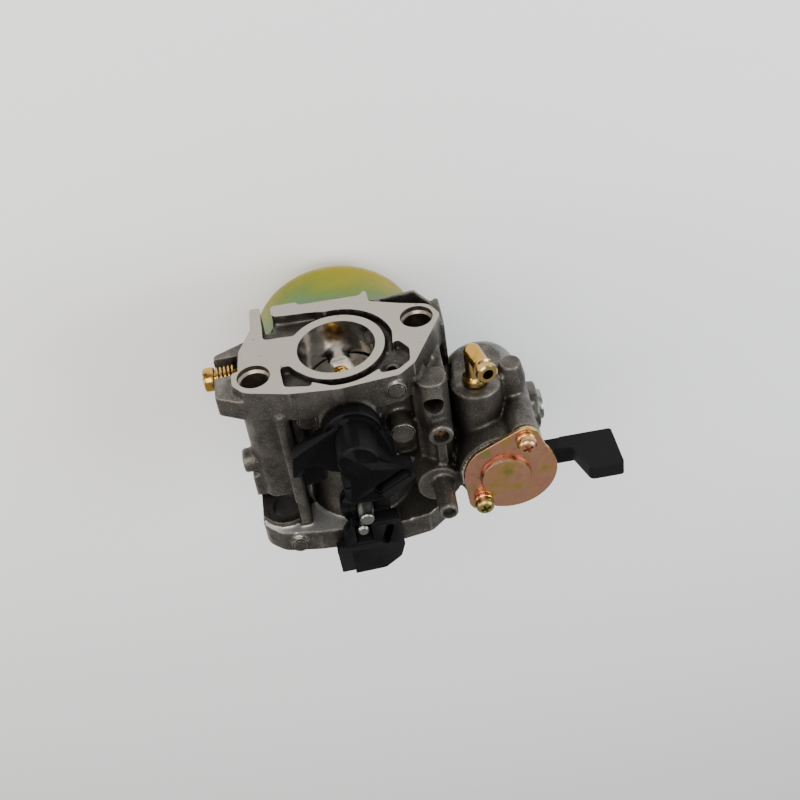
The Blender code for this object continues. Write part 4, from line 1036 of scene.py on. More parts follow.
    def tap_housing(self) -> list[bpy.types.Object]:
        """The fuel tap's housing with its inlet boss, screw ears and side boss."""
        (ear_x, ear_y), (low_x, low_y) = COVER_SCREWS
        return [
            drum((TAP_X, TAP_Y, CUP_TOP + 0.6), (TAP_X, TAP_Y, TAP_RIM), 11.0, sides=80),
            drum((ear_x, ear_y, -2.0), (ear_x, ear_y, TAP_RIM), 4.0, 3.6),
            drum((low_x, low_y, 2.0), (low_x, low_y, TAP_RIM), 3.4),
            drum((31.4, -12.4, 6.9), (31.4, -27.0, 6.9), 6.2),
            drum((33.0, -12.4, -0.9), (33.0, -22.0, -0.9), 6.4, sides=64),
            plate([(25.3, 7.4), (26.9, -2.6), (39.1, 0.0), (37.5, 7.8)], -27.0, -12.4, Axis.Y),
            drum((40.3, -10.0, 4.9), (40.3, -14.5, 4.9), 2.6, 3.5),
            drum((40.3, -14.4, 4.9), (40.3, -31.2, 4.9), 3.5),
            block((33.5, -29.9, -3.0), (43.4, -21.9, 9.4)),
            block((36.0, -24.0, -2.0), (40.0, -15.5, 4.0)),
            drum((42.0, -29.5, 0.6), (46.9, -29.5, 0.6), 6.4, 6.0),
            block((20.0, -40.0, -6.0), (30.0, -25.0, 9.0)),
            block((22.0, -24.0, -3.0), (28.0, -14.0, 3.0)),
        ]

    def raw(self) -> bpy.types.Object:
        """The whole raw casting as one skin with soft inner corners."""
        body = self.engine_flange()
        lumps = [
            self.end_block(), drum((0, -6.0, 0), (0, -49.0, 0), self.wall, sides=96),
            *self.cleaner_flange(), *self.stud_columns(), *self.right_column(), *self.shaft_bosses(),
            *self.float_roof(), *self.tap_housing(),
        ]
        pick(body, *lumps)
        bpy.ops.object.join()
        apply_modifier(body, "REMESH", mode="VOXEL", voxel_size=self.skin * MM, adaptivity=0.0)
        apply_modifier(body, "SMOOTH", factor=0.5, iterations=self.blend_rounds)
        apply_modifier(body, "DECIMATE", ratio=0.34)
        return body

    def studs_and_bores(self) -> list[bpy.types.Object]:
        """The cutters of everything that runs along the bore."""
        tools = [
            block((-40, 0.0, -40), (60, 6.0, 40)),
            block((-40, -60.0, -40), (60, -52.5, 40)),
            turned(
                [(0.0, 1.5), (10.2, 1.5), (9.4, 0.3), (9.4, -20.9), (8.5, -21.8),
                 (7.6, -23.2), (7.2, -25.0), (7.6, -26.2),
                 (8.8, -27.0), (11.0, -27.1), (11.0, -54.0), (0.0, -54.0)],
                (0, 0, 0), Axis.Y, 96,
            ),
        ]
        for x, z in STUDS:
            tools.append(
                turned(
                    [(0, 1), (4.0, 1), (4.0, -1.3), (3.5, -1.9), (3.5, -37.5), (0, -37.5)],
                    (x, 0, z),
                    Axis.Y,
                    48,
                )
            )
            tools.append(drum((x, -40.0, z), (x, -54.0, z), 3.5))
            if x < 0:
                tools.append(block((-27.0, -44.5, 0.6), (-16.5, -36.6, 14.0)))
            else:
                tools.append(drum((x, -37.0, z), (x, -44.5, z), 5.6))
        return tools

    def drilled_holes(self) -> list[bpy.types.Object]:
        """The cutters of the small holes, wells and slots."""
        return [
            block((-32.0, -14.0, -6.4), (-24.2, 1.0, 0.4)),
            drum((-25.0, -5.6, -2.6), (-14.6, -5.6, -2.6), 2.1, sides=24),
            drum((-15.0, -5.6, -2.6), (-10.9, -5.6, -2.6), 1.5, sides=24),
            drum((-11.5, -5.6, -2.6), (-5.0, -5.6, -2.6), 0.6, sides=16),
            drum((12.0, 0.5, 10.1), (12.0, -5.5, 10.1), 1.3, sides=32),
            block((-2.7, -13.4, -11.2), (2.1, -10.0, -8.6), 0.5),
            drum((20.3, -10.9, 6.0), (20.3, -10.9, 20.0), 2.4, sides=32),
            drum((0, THROTTLE_Y, -11.8), (0, THROTTLE_Y, 17.0), 2.56, sides=48),
            drum((0, CHOKE_Y, -11.8), (0, CHOKE_Y, 15.0), 2.06, sides=48),
            drum((0, THROTTLE_Y, 13.6), (0, THROTTLE_Y, 17.0), 4.2),
            turned(
                [(0, -40), (2.55, -40), (2.55, -17), (2.1, -17), (2.1, 0), (0, 0)],
                (0, NOZZLE_Y, 0),
                Axis.Z,
                32,
            ),
            turned(
                [(0, 20), (2.0, 20), (1.9, 17.2), (1.75, 16.9), (1.75, 9), (0, 9)],
                (20.9, -18.5, 0),
                Axis.Z,
                32,
            ),
            drum((19.7, -33.4, 27.4), (19.7, -33.4, 30.0), 1.2, 2.2, 32),
        ]

    def tap_cuts(self) -> list[bpy.types.Object]:
        """The cutters of the tap's well, lever window, cup seat and screw holes."""
        window = [(TAP_X, TAP_Y)] + arc((TAP_X, TAP_Y), 20.0, -115, 27, 12)
        tools = [drum((x, y, 8.0), (x, y, 25.0), 1.35, sides=24) for x, y in COVER_SCREWS]
        return tools + [
            drum((TAP_X, TAP_Y, 11.6), (TAP_X, TAP_Y, 25.0), 6.4),
            block((TAP_X - 11.6, TAP_Y - 16, TAP_RIM), (TAP_X + 16, TAP_Y + 16, 26.0)),
            plate(window, 12.2, 25.0),
            drum((TAP_X, TAP_Y, -9.0), (TAP_X, TAP_Y, 2.4), 7.6),
            drum((TAP_X - 2.6, TAP_Y + 2.2, 1.0), (TAP_X - 2.6, TAP_Y + 2.2, 14.0), 1.2, sides=24),
            drum((31.4, -8.5, 6.9), (31.4, -29.4, 6.9), 1.8, sides=32),
        ]

    def marks(self) -> list[bpy.types.Object]:
        """The fine ring that the mould leaves round each small boss."""
        rings = []
        for (x, y, top), radius in self.bore_marks:
            rings.append(
                turned(
                    [(radius, 0.4), (radius + 0.22, 0.4), (radius + 0.22, -0.5), (radius, -0.5)],
                    (x, y, top),
                    Axis.Z,
                    40,
                )
            )
        return rings

    def chamber(self) -> tuple[list[bpy.types.Object], list[bpy.types.Object]]:
        """The float chamber's post, pin posts and needle tower, and what is cut from its roof."""
        adds = [
            drum((0, NOZZLE_Y, -36.5), (0, NOZZLE_Y, -18.0), 5.2),
            drum((9.3, BOWL_Y, -21.6), (9.3, BOWL_Y, -17.0), 3.4, sides=32),
        ]
        adds += [
            block((11.9, y - 1.1, -24.9), (15.1, y + 1.1, -19.0), 0.3)
            for y in (BOWL_Y - 7.5, BOWL_Y + 7.5)
        ]
        cuts = [
            drum((9.3, BOWL_Y, -24.0), (9.3, BOWL_Y, -16.2), 2.2, sides=24),
            turned(
                [(20.9, -18.0), (20.9, -23.0), (19.0, -23.0), (19.0, -18.0)], (0, BOWL_Y, 0), Axis.Z, 96
            ),
            drum((13.5, BOWL_Y - 10, -23.0), (13.5, BOWL_Y + 10, -23.0), 0.87, sides=24),
        ]
        return adds, cuts

    def paint_faces(self, obj: bpy.types.Object) -> None:
        """Gives each face the finish of how it was made: cast, blasted, milled, reamed or drilled, while the
        deep ends of the stud holes get a near-black painted shade.
        """
        for look in (CAST, MACHINED, POLISHED, DRILLED, BLASTED, SHADED_HOLE):
            obj.data.materials.append(look.material())
        for face in obj.data.polygons:
            x, y, z = face.center / MM
            from_bore = math.hypot(x, z)
            studs = min(math.hypot(x - sx, z - sz) for sx, sz in STUDS)
            if abs(y) < 0.02 and face.normal.y > 0.9 or abs(y + 52.5) < 0.02 and face.normal.y < -0.9:
                face.material_index = 1
            elif from_bore < 11.04:
                face.material_index = 2
            elif studs < 4.05:
                # beyond Y -36.4 the stud holes get the near-black painted shade
                face.material_index = 3 if y > -36.4 else 5
            elif abs(z - TAP_RIM) < 0.02 and face.normal.z > 0.9:
                face.material_index = 1
            elif -47.2 < y < -45.2 and face.normal.y > 0.7 and z > 5 and x < 1:
                face.material_index = 4

    def make(self) -> None:
        """Builds, machines and paints the casting."""
        body = self.raw()
        adds, cuts = self.chamber()
        unite(body, *adds)
        carve(body, *self.studs_and_bores(), *self.drilled_holes(), *self.tap_cuts(), *self.marks(), *cuts)
        body.data.materials.clear()
        self.paint_faces(body)
        finish_piece(body, None, "body", ["body_casting"], 34.0)


# ---- throttle ---------------------------------------------------------------
@dataclass
class Throttle:
    """The throttle: its shaft, plate and screw, and the black lever on top."""

    plate_radius: float = 9.1

    def shaft(self) -> bpy.types.Object:
        """The steel shaft, flattened where the plate sits."""
        obj = turned(
            [
                (0, 27.6), (2.2, 27.6), (2.5, 27.3), (2.5, -11.0), (2.2, -11.4), (0, -11.4),
            ], (0, THROTTLE_Y, 0), Axis.Z, 64,
            "throttle_shaft_turned",
        )
        carve(
            obj,
            block((-4, THROTTLE_Y, -7.2), (4, THROTTLE_Y + 4, 7.2)),
            drum((0, -16, 0), (0, -8, 0), 1.3, sides=24),
        )
        return turn_about(obj, (0, THROTTLE_Y, 0), "Z", THROTTLE_IDLE)

    def disc(self) -> bpy.types.Object:
        """The brass throttle plate."""
        low = THROTTLE_Y + 0.1
        obj = turned(
            [(0, 1.0), (self.plate_radius - 0.15, 1.0), (self.plate_radius, 0.85), (self.plate_radius, 0.15),
             (self.plate_radius - 0.15, 0.0), (0, 0.0)],
            (0, low, 0), Axis.Y, 96, "throttle_plate_disc",
        )
        notches = [block((-2.8, low - 1, z - 1.2), (2.8, low + 3, z + 1.2)) for z in (-8.3, 8.3)]
        carve(obj, drum((0, low - 1, 0), (0, low + 3, 0), 1.6, sides=24), *notches)
        return turn_about(obj, (0, THROTTLE_Y, 0), "Z", THROTTLE_IDLE)

    def screw(self) -> bpy.types.Object:
        """The screw that holds the plate, with a toothed washer under its head."""
        seat = THROTTLE_Y + 1.9
        obj = turned(
            [(0, 2.1), (1.5, 2.05), (2.1, 1.7), (2.4, 1.1), (2.4, 0.3), (2.2, 0.25), (2.2, 0.1), (2.9, 0.05),
             (2.9, -0.5), (1.15, -0.6), (1.15, -3.6), (0, -3.6)],
            (0, seat, 0), Axis.Y, 40, "throttle_plate_screw_head",
        )
        teeth = [
            drum(
                (3.1 * math.cos(k * 0.52), seat - 2, 3.1 * math.sin(k * 0.52)),
                (3.1 * math.cos(k * 0.52), seat + 0.2, 3.1 * math.sin(k * 0.52)),
                0.4,
                sides=8,
            )
            for k in range(12)
        ]
        carve(obj, *teeth, *cross_recess((0, seat + 2.1, 0), Axis.Y, 1.5, 0.56, 0.9))
        return turn_about(obj, (0, THROTTLE_Y, 0), "Z", THROTTLE_IDLE)

    def lever(self) -> bpy.types.Object:
        """The moulded lever: hub, hooked stop arm, and the arm with the governor rod's slot."""
        y = THROTTLE_Y
        lever = turned(
            [(0, 28.6), (4.3, 28.6), (4.85, 28.1), (4.95, 19.7), (6.0, 19.5), (6.0, 17.0), (0, 17.0)],
            (0.8, y, 0), Axis.Z, 72, "throttle_lever_moulded",
        )
        disc = turned(
            [(0, 19.3), (6.8, 19.3), (7.1, 19.0), (7.1, 16.3), (6.8, 16.0), (0, 16.0)],
            (0.4, y, 0),
            Axis.Z,
            72,
        )
        web = plate(
            rounded(
                [
                    (-3.3, y + 1.0), (5.4, y + 1.5), (9.6, y - 3.2), (8.0, y - 9.0), (-2.4, y - 11.0),
                    (-3.5, y - 4.0),
                ],
                1.0,
            ),
            18.7, 25.6,
        )
        stop = plate(
            rounded(
                [(2.0, y + 1.0), (-3.0, y + 4.4, 1.5), (-14.4, y - 3.1, 0.4), (-15.3, y - 9.1, 0.3),
                 (-13.3, y - 9.4, 0.4),
                 (-12.6, y - 6.9, 0.8), (-9.0, y - 6.6, 3.0), (-6.2, y - 9.2, 3.0),
                 (-2.5, y - 10.4, 0.6), (3.0, y - 8.0)],
                0.6,
            ),
            16.5, 20.4,
        )
        tab = plate(
            rounded(
                [
                    (-8.2, y - 5.0), (-12.4, y - 6.0), (-12.9, y - 14.6, 0.5), (-7.4, y - 13.4, 1.4),
                    (-6.9, y - 8.0),
                ],
                0.5,
            ),
            16.35, 18.3,
        )
        arm = plate(
            rounded(
                [(-3.8, y - 1.0), (6.0, y + 1.3), (8.4, y - 2.4), (12.8, y - 4.2), (12.6, y - 8.6),
                 (5.8, y - 13.9),
                 (-2.4, y - 13.3), (-3.8, y - 11.2)],
                0.9,
            ),
            25.1, 28.15,
        )
        for piece in (disc, web, stop, tab, arm):
            unite(lever, piece)
        slot = plate(slot_outline((7.5, y - 8.1), 9.2, 2.3, 32), 24.0, 30.0)
        dish = plate(slot_outline((7.5, y - 8.1), 10.3, 3.3, 32), 27.75, 30.0)
        groove = block((-6.0, y - 8.2, 27.8), (-2.2, y - 7.5, 30.0))
        for cutter in (slot, dish, groove, drum((0, y, 14.0), (0, y, 27.9), 2.8)):
            carve(lever, cutter)
        return soften(lever, 0.2, 2, 40)

    def make(self) -> None:
        """Builds the throttle's pieces."""
        finish_piece(self.shaft(), STEEL, "throttle", ["throttle_shaft"])
        finish_piece(self.disc(), PALE_BRASS, "throttle", ["throttle_plate"])
        finish_piece(self.screw(), GOLD_ZINC, "throttle", ["throttle_plate_screw"])
        finish_piece(self.lever(), BLACK, "throttle", ["throttle_lever"])


# ---- choke ------------------------------------------------------------------
@dataclass
class Choke:
    """The choke: its bent shaft, plate and screws, and the glossy lever."""

    plate_radius: float = 10.7
    low: float = 17.0
    high: float = 20.7

    def shaft(self) -> bpy.types.Object:
        """The shaft with its head and the bent arm that drives the lever."""
        shaft = turned(
            [
                (0, 21.8), (1.5, 21.8), (1.75, 21.5), (1.75, 19.6), (2.0, 19.2), (2.0, -11.2),
                (1.8, -11.4), (0, -11.4),
            ],
            (0, CHOKE_Y, 0), Axis.Z, 48, "choke_shaft_bent",
        )
        arm = plate(
            rounded(
                [(-1.4, CHOKE_Y + 0.4), (0.7, CHOKE_Y + 0.4), (-0.4, CHOKE_Y - 5.7), (-2.7, CHOKE_Y - 5.7)],
                0.9,
            ), 17.7, 19.6,
            edge=0.3,
        )
        knob = turned(
            [(0, 2.6), (1.1, 2.6), (1.5, 2.1), (1.5, 0.3), (1.2, 0.0), (0, 0.0)],
            (-1.5, CHOKE_Y - 4.9, 18.2),
            Axis.Z,
            40,
        )
        unite(shaft, arm, knob)
        return carve(shaft, block((0, CHOKE_Y - 4, -10.8), (4, CHOKE_Y + 4, 10.8)))

    def disc(self) -> bpy.types.Object:
        """The brass choke plate with its vent hole."""
        obj = turned(
            [(0, 1.1), (10.55, 1.1), (10.7, 0.95), (10.7, 0.25), (10.55, 0.1), (0, 0.1)],
            (0, CHOKE_Y, 0),
            Axis.X,
            96,
            "choke_plate_disc",
        )
        holes = [drum((-2, CHOKE_Y, z), (4, CHOKE_Y, z), 1.5, sides=24) for z in (-4.0, 4.0)]
        return carve(obj, drum((-2, CHOKE_Y + 5.5, 0), (4, CHOKE_Y + 5.5, 0), 1.6, sides=32), *holes)

    def screw(self, name: str, z: float) -> bpy.types.Object:
        """One of the plate's two screws."""
        obj = turned(
            [(0, 1.3), (1.2, 1.25), (1.8, 0.9), (2.0, 0.5), (2.0, 0.1), (1.1, 0.1), (1.1, -0.9), (0, -0.9)],
            (1.2, CHOKE_Y, z), Axis.X, 32, name,
        )
        return carve(obj, *cross_recess((2.5, CHOKE_Y, z), Axis.X, 1.2, 0.45, 0.7))

    def lever(self) -> bpy.types.Object:
        """The moulded lever with its notch, slot and stepped foot."""
        outline = rounded(
            [
                (
                    0.6, -40.6, 0.4
                ), (8.0, -40.3, 0.9), (8.1, -50.0, 2.0), (6.8, -54.0, 2.0), (2.4, -57.4, 2.5),
                (
                    -8.8, -57.9, 0.3
                ), (-9.0, -49.2, 0.3), (-6.6, -47.8, 0.3), (-6.6, -44.2, 2.0), (-4.4, -41.0, 1.8),
                (-3.6, -40.6, 0.3), (-3.6, -46.6, 0.4), (0.6, -46.6, 0.4),
            ],
            1.0,
        )
        lever = plate(outline, self.low, self.high, edge=0.0, name="choke_lever_moulded")
        hub = turned([(6.2, 16.95), (6.2, 13.9), (2.3, 13.9), (2.3, 16.95)], (0, CHOKE_Y, 0), Axis.Z, 56)
        nose = plate(rounded([(0.7, -44.6), (0.7, -40.8), (6.1, -40.6), (6.1, -42.1)], 0.4), 14.2, 17.4)
        floor = plate([(-4.4, -40.8), (1.4, -40.6), (1.4, -47.8), (-4.4, -47.8)], self.low, self.low + 0.4)
        unite(lever, hub, nose, floor)
        cuts = [
            plate(slot_outline((4.3, -45.2), 7.2, 2.0, 72), 15.0, 24.0),
            drum((0, CHOKE_Y, 12.0), (0, CHOKE_Y, 19.0), 2.3),
            block((-10.0, -60.0, self.high - 1.2), (-5.4, -49.4, self.high + 1.0)),
        ]
        carve(lever, *cuts)
        return soften(lever, 0.28, 3, 40)

    def make(self) -> None:
        """Builds the choke's pieces."""
        finish_piece(self.shaft(), CLEAR_ZINC, "choke", ["choke_shaft"])
        finish_piece(self.disc(), BRASS, "choke", ["choke_plate"])
        for name, z in (("upper", 4.0), ("lower", -4.0)):
            finish_piece(
                self.screw(f"choke_screw_{name}", z),
                GOLD_ZINC,
                "choke",
                [f"choke_plate_screw_{name}"],
            )
        finish_piece(self.lever(), GLOSS_BLACK, "choke", ["choke_lever"])


def cross_recess(
    top: Point, axis: Axis, reach: float, width: float, depth: float,
) -> list[bpy.types.Object]:
    """The cutters of a cross recess that tapers towards its floor.

    Args:
        top: The middle of the screw head's outer face.
        axis: The direction that the head faces.
        reach: How far each wing reaches from the middle.
        width: The wings' width.
        depth: How deep the recess goes.

    Returns:
        The cutters.
    """
    cutters = []
    for angle in (0.0, 90.0):
        low, high = -depth, 0.6
        wing = block((-reach, -width / 2, low), (reach, width / 2, high))
        for vertex in wing.data.vertices:
            if vertex.co.z < 0:
                vertex.co.x *= 0.55
        wing.data.transform(
            Matrix.Translation(Vector(top) * MM) @ axis.matrix() @ Matrix.Rotation(
                math.radians(angle + 20), 4, "Z"
            ),
        )
        cutters.append(wing)
    return cutters


# ---- fuel tap ---------------------------------------------------------------
@dataclass
class FuelTap:
    """The fuel tap: cover, screws, lever, inlet elbow, sediment cup and plug."""

    cover_low: float = TAP_RIM + 0.3
    cover_thick: float = 1.2

    def cover(self) -> bpy.types.Object:
        """The pressed cover with its raised disc."""
        (ux, uy), (lx, ly) = COVER_SCREWS
        outline = (
            arc((36.3, -32.4), 11.5, -118, 38, 60)
            + arc((ux, uy), 3.6, 30, 125, 20)
            + arc((36.3, -32.4), 11.5, 134, 176, 20)
            + arc((lx, ly), 3.6, 190, 250, 14)
        )
        low, top = self.cover_low, self.cover_low + self.cover_thick
        sheet = plate(outline, low, top, edge=0.25, name="valve_cover_pressed")
        dome = turned(
            [
                (0, top + 1.5), (5.3, top + 1.5), (5.9, top + 1.35), (6.2, top + 0.9),
                (6.3, top + 0.3), (6.5, top - 0.4), (0, top - 0.4),
            ],
            (TAP_X, TAP_Y, 0), Axis.Z, 96,
        )
        unite(sheet, dome)
        hollow = turned(
            [
                (0, top + 0.4), (4.9, top + 0.4), (5.3, top), (5.4, low - 1), (0, low - 1),
            ], (TAP_X, TAP_Y, 0), Axis.Z, 64
        )
        return carve(
            sheet, hollow, *[drum((x, y, 15.0), (x, y, 25.0), 1.7, sides=32) for x, y in COVER_SCREWS]
        )

    def screw(self, name: str, x: float, y: float) -> bpy.types.Object:
        """A pan-head screw with a cross recess."""
        seat = self.cover_low + self.cover_thick + 1.0
        obj = turned(
            [
                (0, 2.3), (1.1, 2.25), (1.8, 2.0), (2.2, 1.55), (2.4, 0.9), (2.4, 0.2), (2.25, 0),
                (1.25, 0), (1.25, -8.4), (0.9, -9), (0, -9),
            ],
            (x, y, seat), Axis.Z, 56, name,
        )
        return carve(obj, *cross_recess((x, y, seat + 2.3), Axis.Z, 1.55, 0.62, 1.2))

    def washer(self, name: str, x: float, y: float) -> bpy.types.Object:
        """A split lock washer."""
        low = self.cover_low + self.cover_thick + 0.05
        obj = turned(
            [
                (2.25, low + 0.9), (2.4, low + 0.75), (2.4, low + 0.15), (2.25, low), (1.65, low),
                (1.65, low + 0.9),
            ],
            (x, y, 0), Axis.Z, 48, name,
        )
        gap = block((1.2, -0.18, low - 1), (3.0, 0.18, low + 2))
        gap.data.transform(
            Matrix.Translation((x * MM, y * MM, 0)) @ Matrix.Rotation(math.radians(250), 4, "Z")
        )
        return carve(obj, gap)

    def lever(self) -> bpy.types.Object:
        """The tap's lever: hub, arm and upright thumb paddle."""
        hub = turned(
            [(0, 17.4), (5.7, 17.4), (5.9, 17.2), (5.9, 13.3), (5.7, 13.1), (0, 13.1)],
            (TAP_X, TAP_Y, 0),
            Axis.Z,
            64,
            "fuel_lever_moulded",
        )
        arm = block((TAP_X, TAP_Y - 2.4, 13.4), (54.0, TAP_Y + 2.6, 17.2))
        outline = rounded(
            [
                (49.6, 13.3, 0.4), (62.6, 13.3, 0.9), (63.0, 25.8, 1.0), (54.8, 25.8, 1.6),
                (51.8, 17.3, 1.4), (48.6, 17.3, 0.4),
            ],
            0.8,
        )
        paddle = plate(outline, -33.4, -29.7, Axis.Y)
        unite(hub, arm, paddle)
        return soften(hub, 0.35, 3, 40)

    def elbow(self) -> bpy.types.Object:
        """The inlet elbow: collar, bend and barbed spout."""
        x, z = 31.4, 6.9
        corner = (x, -3.2, z)
        leg = turned(
            [
                (0, 9.0), (2.1, 9.0), (2.1, 2.6), (2.5, 1.9), (3.0, 1.5), (3.1, 1.1), (3.1, 0.2),
                (2.9, 0.1), (1.75, 0.1), (1.75, -5), (0, -5),
            ],
            (x, -12.2, z), Axis.Y, 48, "fuel_inlet_elbow_bent",
        )
        spout = turned(
            [
                (0, 9.2), (2.2, 9.2), (2.55, 8.9), (2.6, 7.9), (2.2, 7.6), (2.05, 7.4), (2.05, 6.8),
                (2.5, 6.5), (2.45, 5.9), (2.05, 5.3), (2.05, 0), (0, 0),
            ],
            corner, Axis.Z, 48,
        )
        turn_about(spout, corner, "Y", math.radians(14))
        unite(leg, spout, ball(corner, 2.12))
        tip = (x + math.sin(math.radians(14)) * 10.2, -3.2, z + math.cos(math.radians(14)) * 10.2)
        carve(leg, drum((x, -18.0, z), corner, 1.15, sides=24), drum(corner, tip, 1.35, sides=40))
        return soften(leg, 0.12, 2, 50)

    def cup(self) -> bpy.types.Object:
        """The sediment cup with its rounded floor and hex boss."""
        z, top = -21.0, CUP_TOP - 0.6
        cup = turned(
            [
                (0, z), (7.0, z), (8.4, z + 0.3), (9.3, z + 1.1), (9.8, z + 2.6), (9.8, top - 3.2),
                (9.95, top - 3.0), (9.95, top), (7.9, top), (7.9, z + 3.4), (6.4, z + 1.8),
                (0, z + 1.8),
            ],
            (TAP_X, TAP_Y, 0), Axis.Z, 96, "sediment_cup_drawn",
        )
        hexagon = soften(drum((TAP_X, TAP_Y, z - 2.6), (TAP_X, TAP_Y, z + 0.5), 5.4, sides=6), 0.35)
        collar = turned(
            [(7.3, CUP_TOP + 3.6), (7.3, CUP_TOP - 2), (5.9, CUP_TOP - 2), (5.9, CUP_TOP + 3.6)],
            (TAP_X, TAP_Y, 0),
            Axis.Z,
            64,
        )
        rim = turned(
            [(8.2, CUP_TOP - 0.8), (8.2, CUP_TOP - 2.4), (6.5, CUP_TOP - 2.4), (6.5, CUP_TOP - 0.8)],
            (TAP_X, TAP_Y, 0),
            Axis.Z,
            64,
        )
        return unite(cup, hexagon, collar, rim)

    def plug(self) -> bpy.types.Object:
        """The pressed plug at the end of the cross drilling."""
        return turned(
            [
                (0, 0.5), (2.6, 0.5), (3.0, 1.1), (3.6, 1.0), (3.8, 0.6), (3.8, 0), (0, 0),
            ], (47.0, -29.5, 0.6), Axis.X, 48, "passage_plug_pressed"
        )

    def make(self) -> None:
        """Builds the tap's pieces."""
        finish_piece(self.cover(), YELLOW_ZINC, "body", ["valve_cover_plate"])
        for name, (x, y) in zip(("upper", "lower"), COVER_SCREWS):
            finish_piece(
                self.screw(f"cover_screw_{name}", x, y),
                YELLOW_ZINC,
                "body",
                [f"valve_cover_screw_{name}"],
            )
            finish_piece(
                self.washer(f"cover_washer_{name}", x, y),
                YELLOW_ZINC,
                "body",
                [f"valve_cover_washer_{name}"],
            )
        finish_piece(self.lever(), BLACK, "fuel_valve", ["fuel_valve_lever"])
        finish_piece(self.elbow(), GOLD_ZINC, "body", ["fuel_inlet_elbow"])
        finish_piece(self.cup(), CLEAR_ZINC, "body", ["strainer_cup"])
        finish_piece(self.plug(), CLEAR_ZINC, "body", ["fuel_passage_plug"])


# ---- float chamber ----------------------------------------------------------
@dataclass
class FloatChamber:
    """The bowl and its bolts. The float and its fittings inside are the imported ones."""

    radius: float = 21.8
    wall: float = 1.0
    floor: float = -40.0
    top: float = -21.1
    bend: float = 5.5

    def bowl(self) -> bpy.types.Object:
        """The drawn bowl with a rolled rim."""
        r, w, z, bend = self.radius, self.wall, self.floor, self.bend
        swings = [math.radians(9 * k) for k in range(11)]
        outer = [(r - bend + bend * math.cos(a), z + bend - bend * math.sin(a)) for a in swings]
        inner = [(r - bend + (bend - w) * math.cos(a), z + bend - (bend - w) * math.sin(a)) for a in swings]
        rim = [
            (r - w, self.top), (r + 0.6, self.top), (r + 0.85, self.top - 0.2), (r + 0.9, self.top - 0.6),
            (r + 0.7, self.top - 1.0), (r + 0.15, self.top - 1.3), (r, self.top - 1.7),
        ]
        step = [
            (8.0, z), (7.4, z + 0.5), (3.4, z + 0.5), (3.4, z + w + 0.5), (7.4, z + w + 0.5),
            (8.0, z + w),
        ]
        bowl = turned(rim + outer + step + inner[::-1], (0, BOWL_Y, 0), Axis.Z, 128, "float_bowl_drawn")
        boss = turned(
            [(0, 3.2), (4.3, 3.2), (4.6, 2.9), (4.6, 0.2), (0, 0.2)], (-12.5, BOWL_Y, z), Axis.Z, 40
        )
        unite(bowl, boss)
        return carve(bowl, drum((-12.5, BOWL_Y, z - 1), (-12.5, BOWL_Y, z + 6), 2.3, sides=32))

    def bolt(
        self, name: str, x: float, across: float, head: float, stem: float, length: float,
    ) -> bpy.types.Object:
        """A flanged hex bolt with chamfered corners."""
        top = self.floor - 1.4
        bolt = drum(
            (x, BOWL_Y, top - head), (x, BOWL_Y, top - 0.2), across / math.sqrt(3), sides=6, name=name,
        )
        cone = turned(
            [
                (0, 0),
                (across / 2 - 0.2, 0),
                (across / 2 + 1.2, 0.9),
                (across / 2 + 1.2, head + 2),
                (0, head + 2),
            ],
            (x, BOWL_Y, top - head),
            Axis.Z,
            48,
        )
        apply_modifier(bolt, "BOOLEAN", operation="INTERSECT", solver="EXACT", object=cone)
        bpy.data.objects.remove(cone)
        flange = turned(
            [
                (0, 0.05), (across / 2 + 0.9, 0.05), (across / 2 + 0.9, -0.4),
                (across / 2 + 0.5, -0.9), (0, -0.9),
            ],
            (x, BOWL_Y, top),
            Axis.Z,
            56,
        )
        shank = drum((x, BOWL_Y, top - 0.5), (x, BOWL_Y, top + length), stem, sides=32)
        return unite(bolt, flange, shank)

    def make(self) -> None:
        """Builds the bowl and its bolts."""
        finish_piece(self.bowl(), BowlZinc(), "body", ["float_bowl"], 40.0)
        finish_piece(
            self.bolt("bowl_bolt_head", 0.0, 10.0, 4.4, 2.4, 10.0),
            YELLOW_ZINC,
            "body",
            ["bowl_bolt"],
        )
        finish_piece(
            self.bolt("drain_bolt_head", -12.5, 8.0, 4.0, 2.0, 4.4),
            YELLOW_ZINC,
            "body",
            ["drain_bolt"],
        )


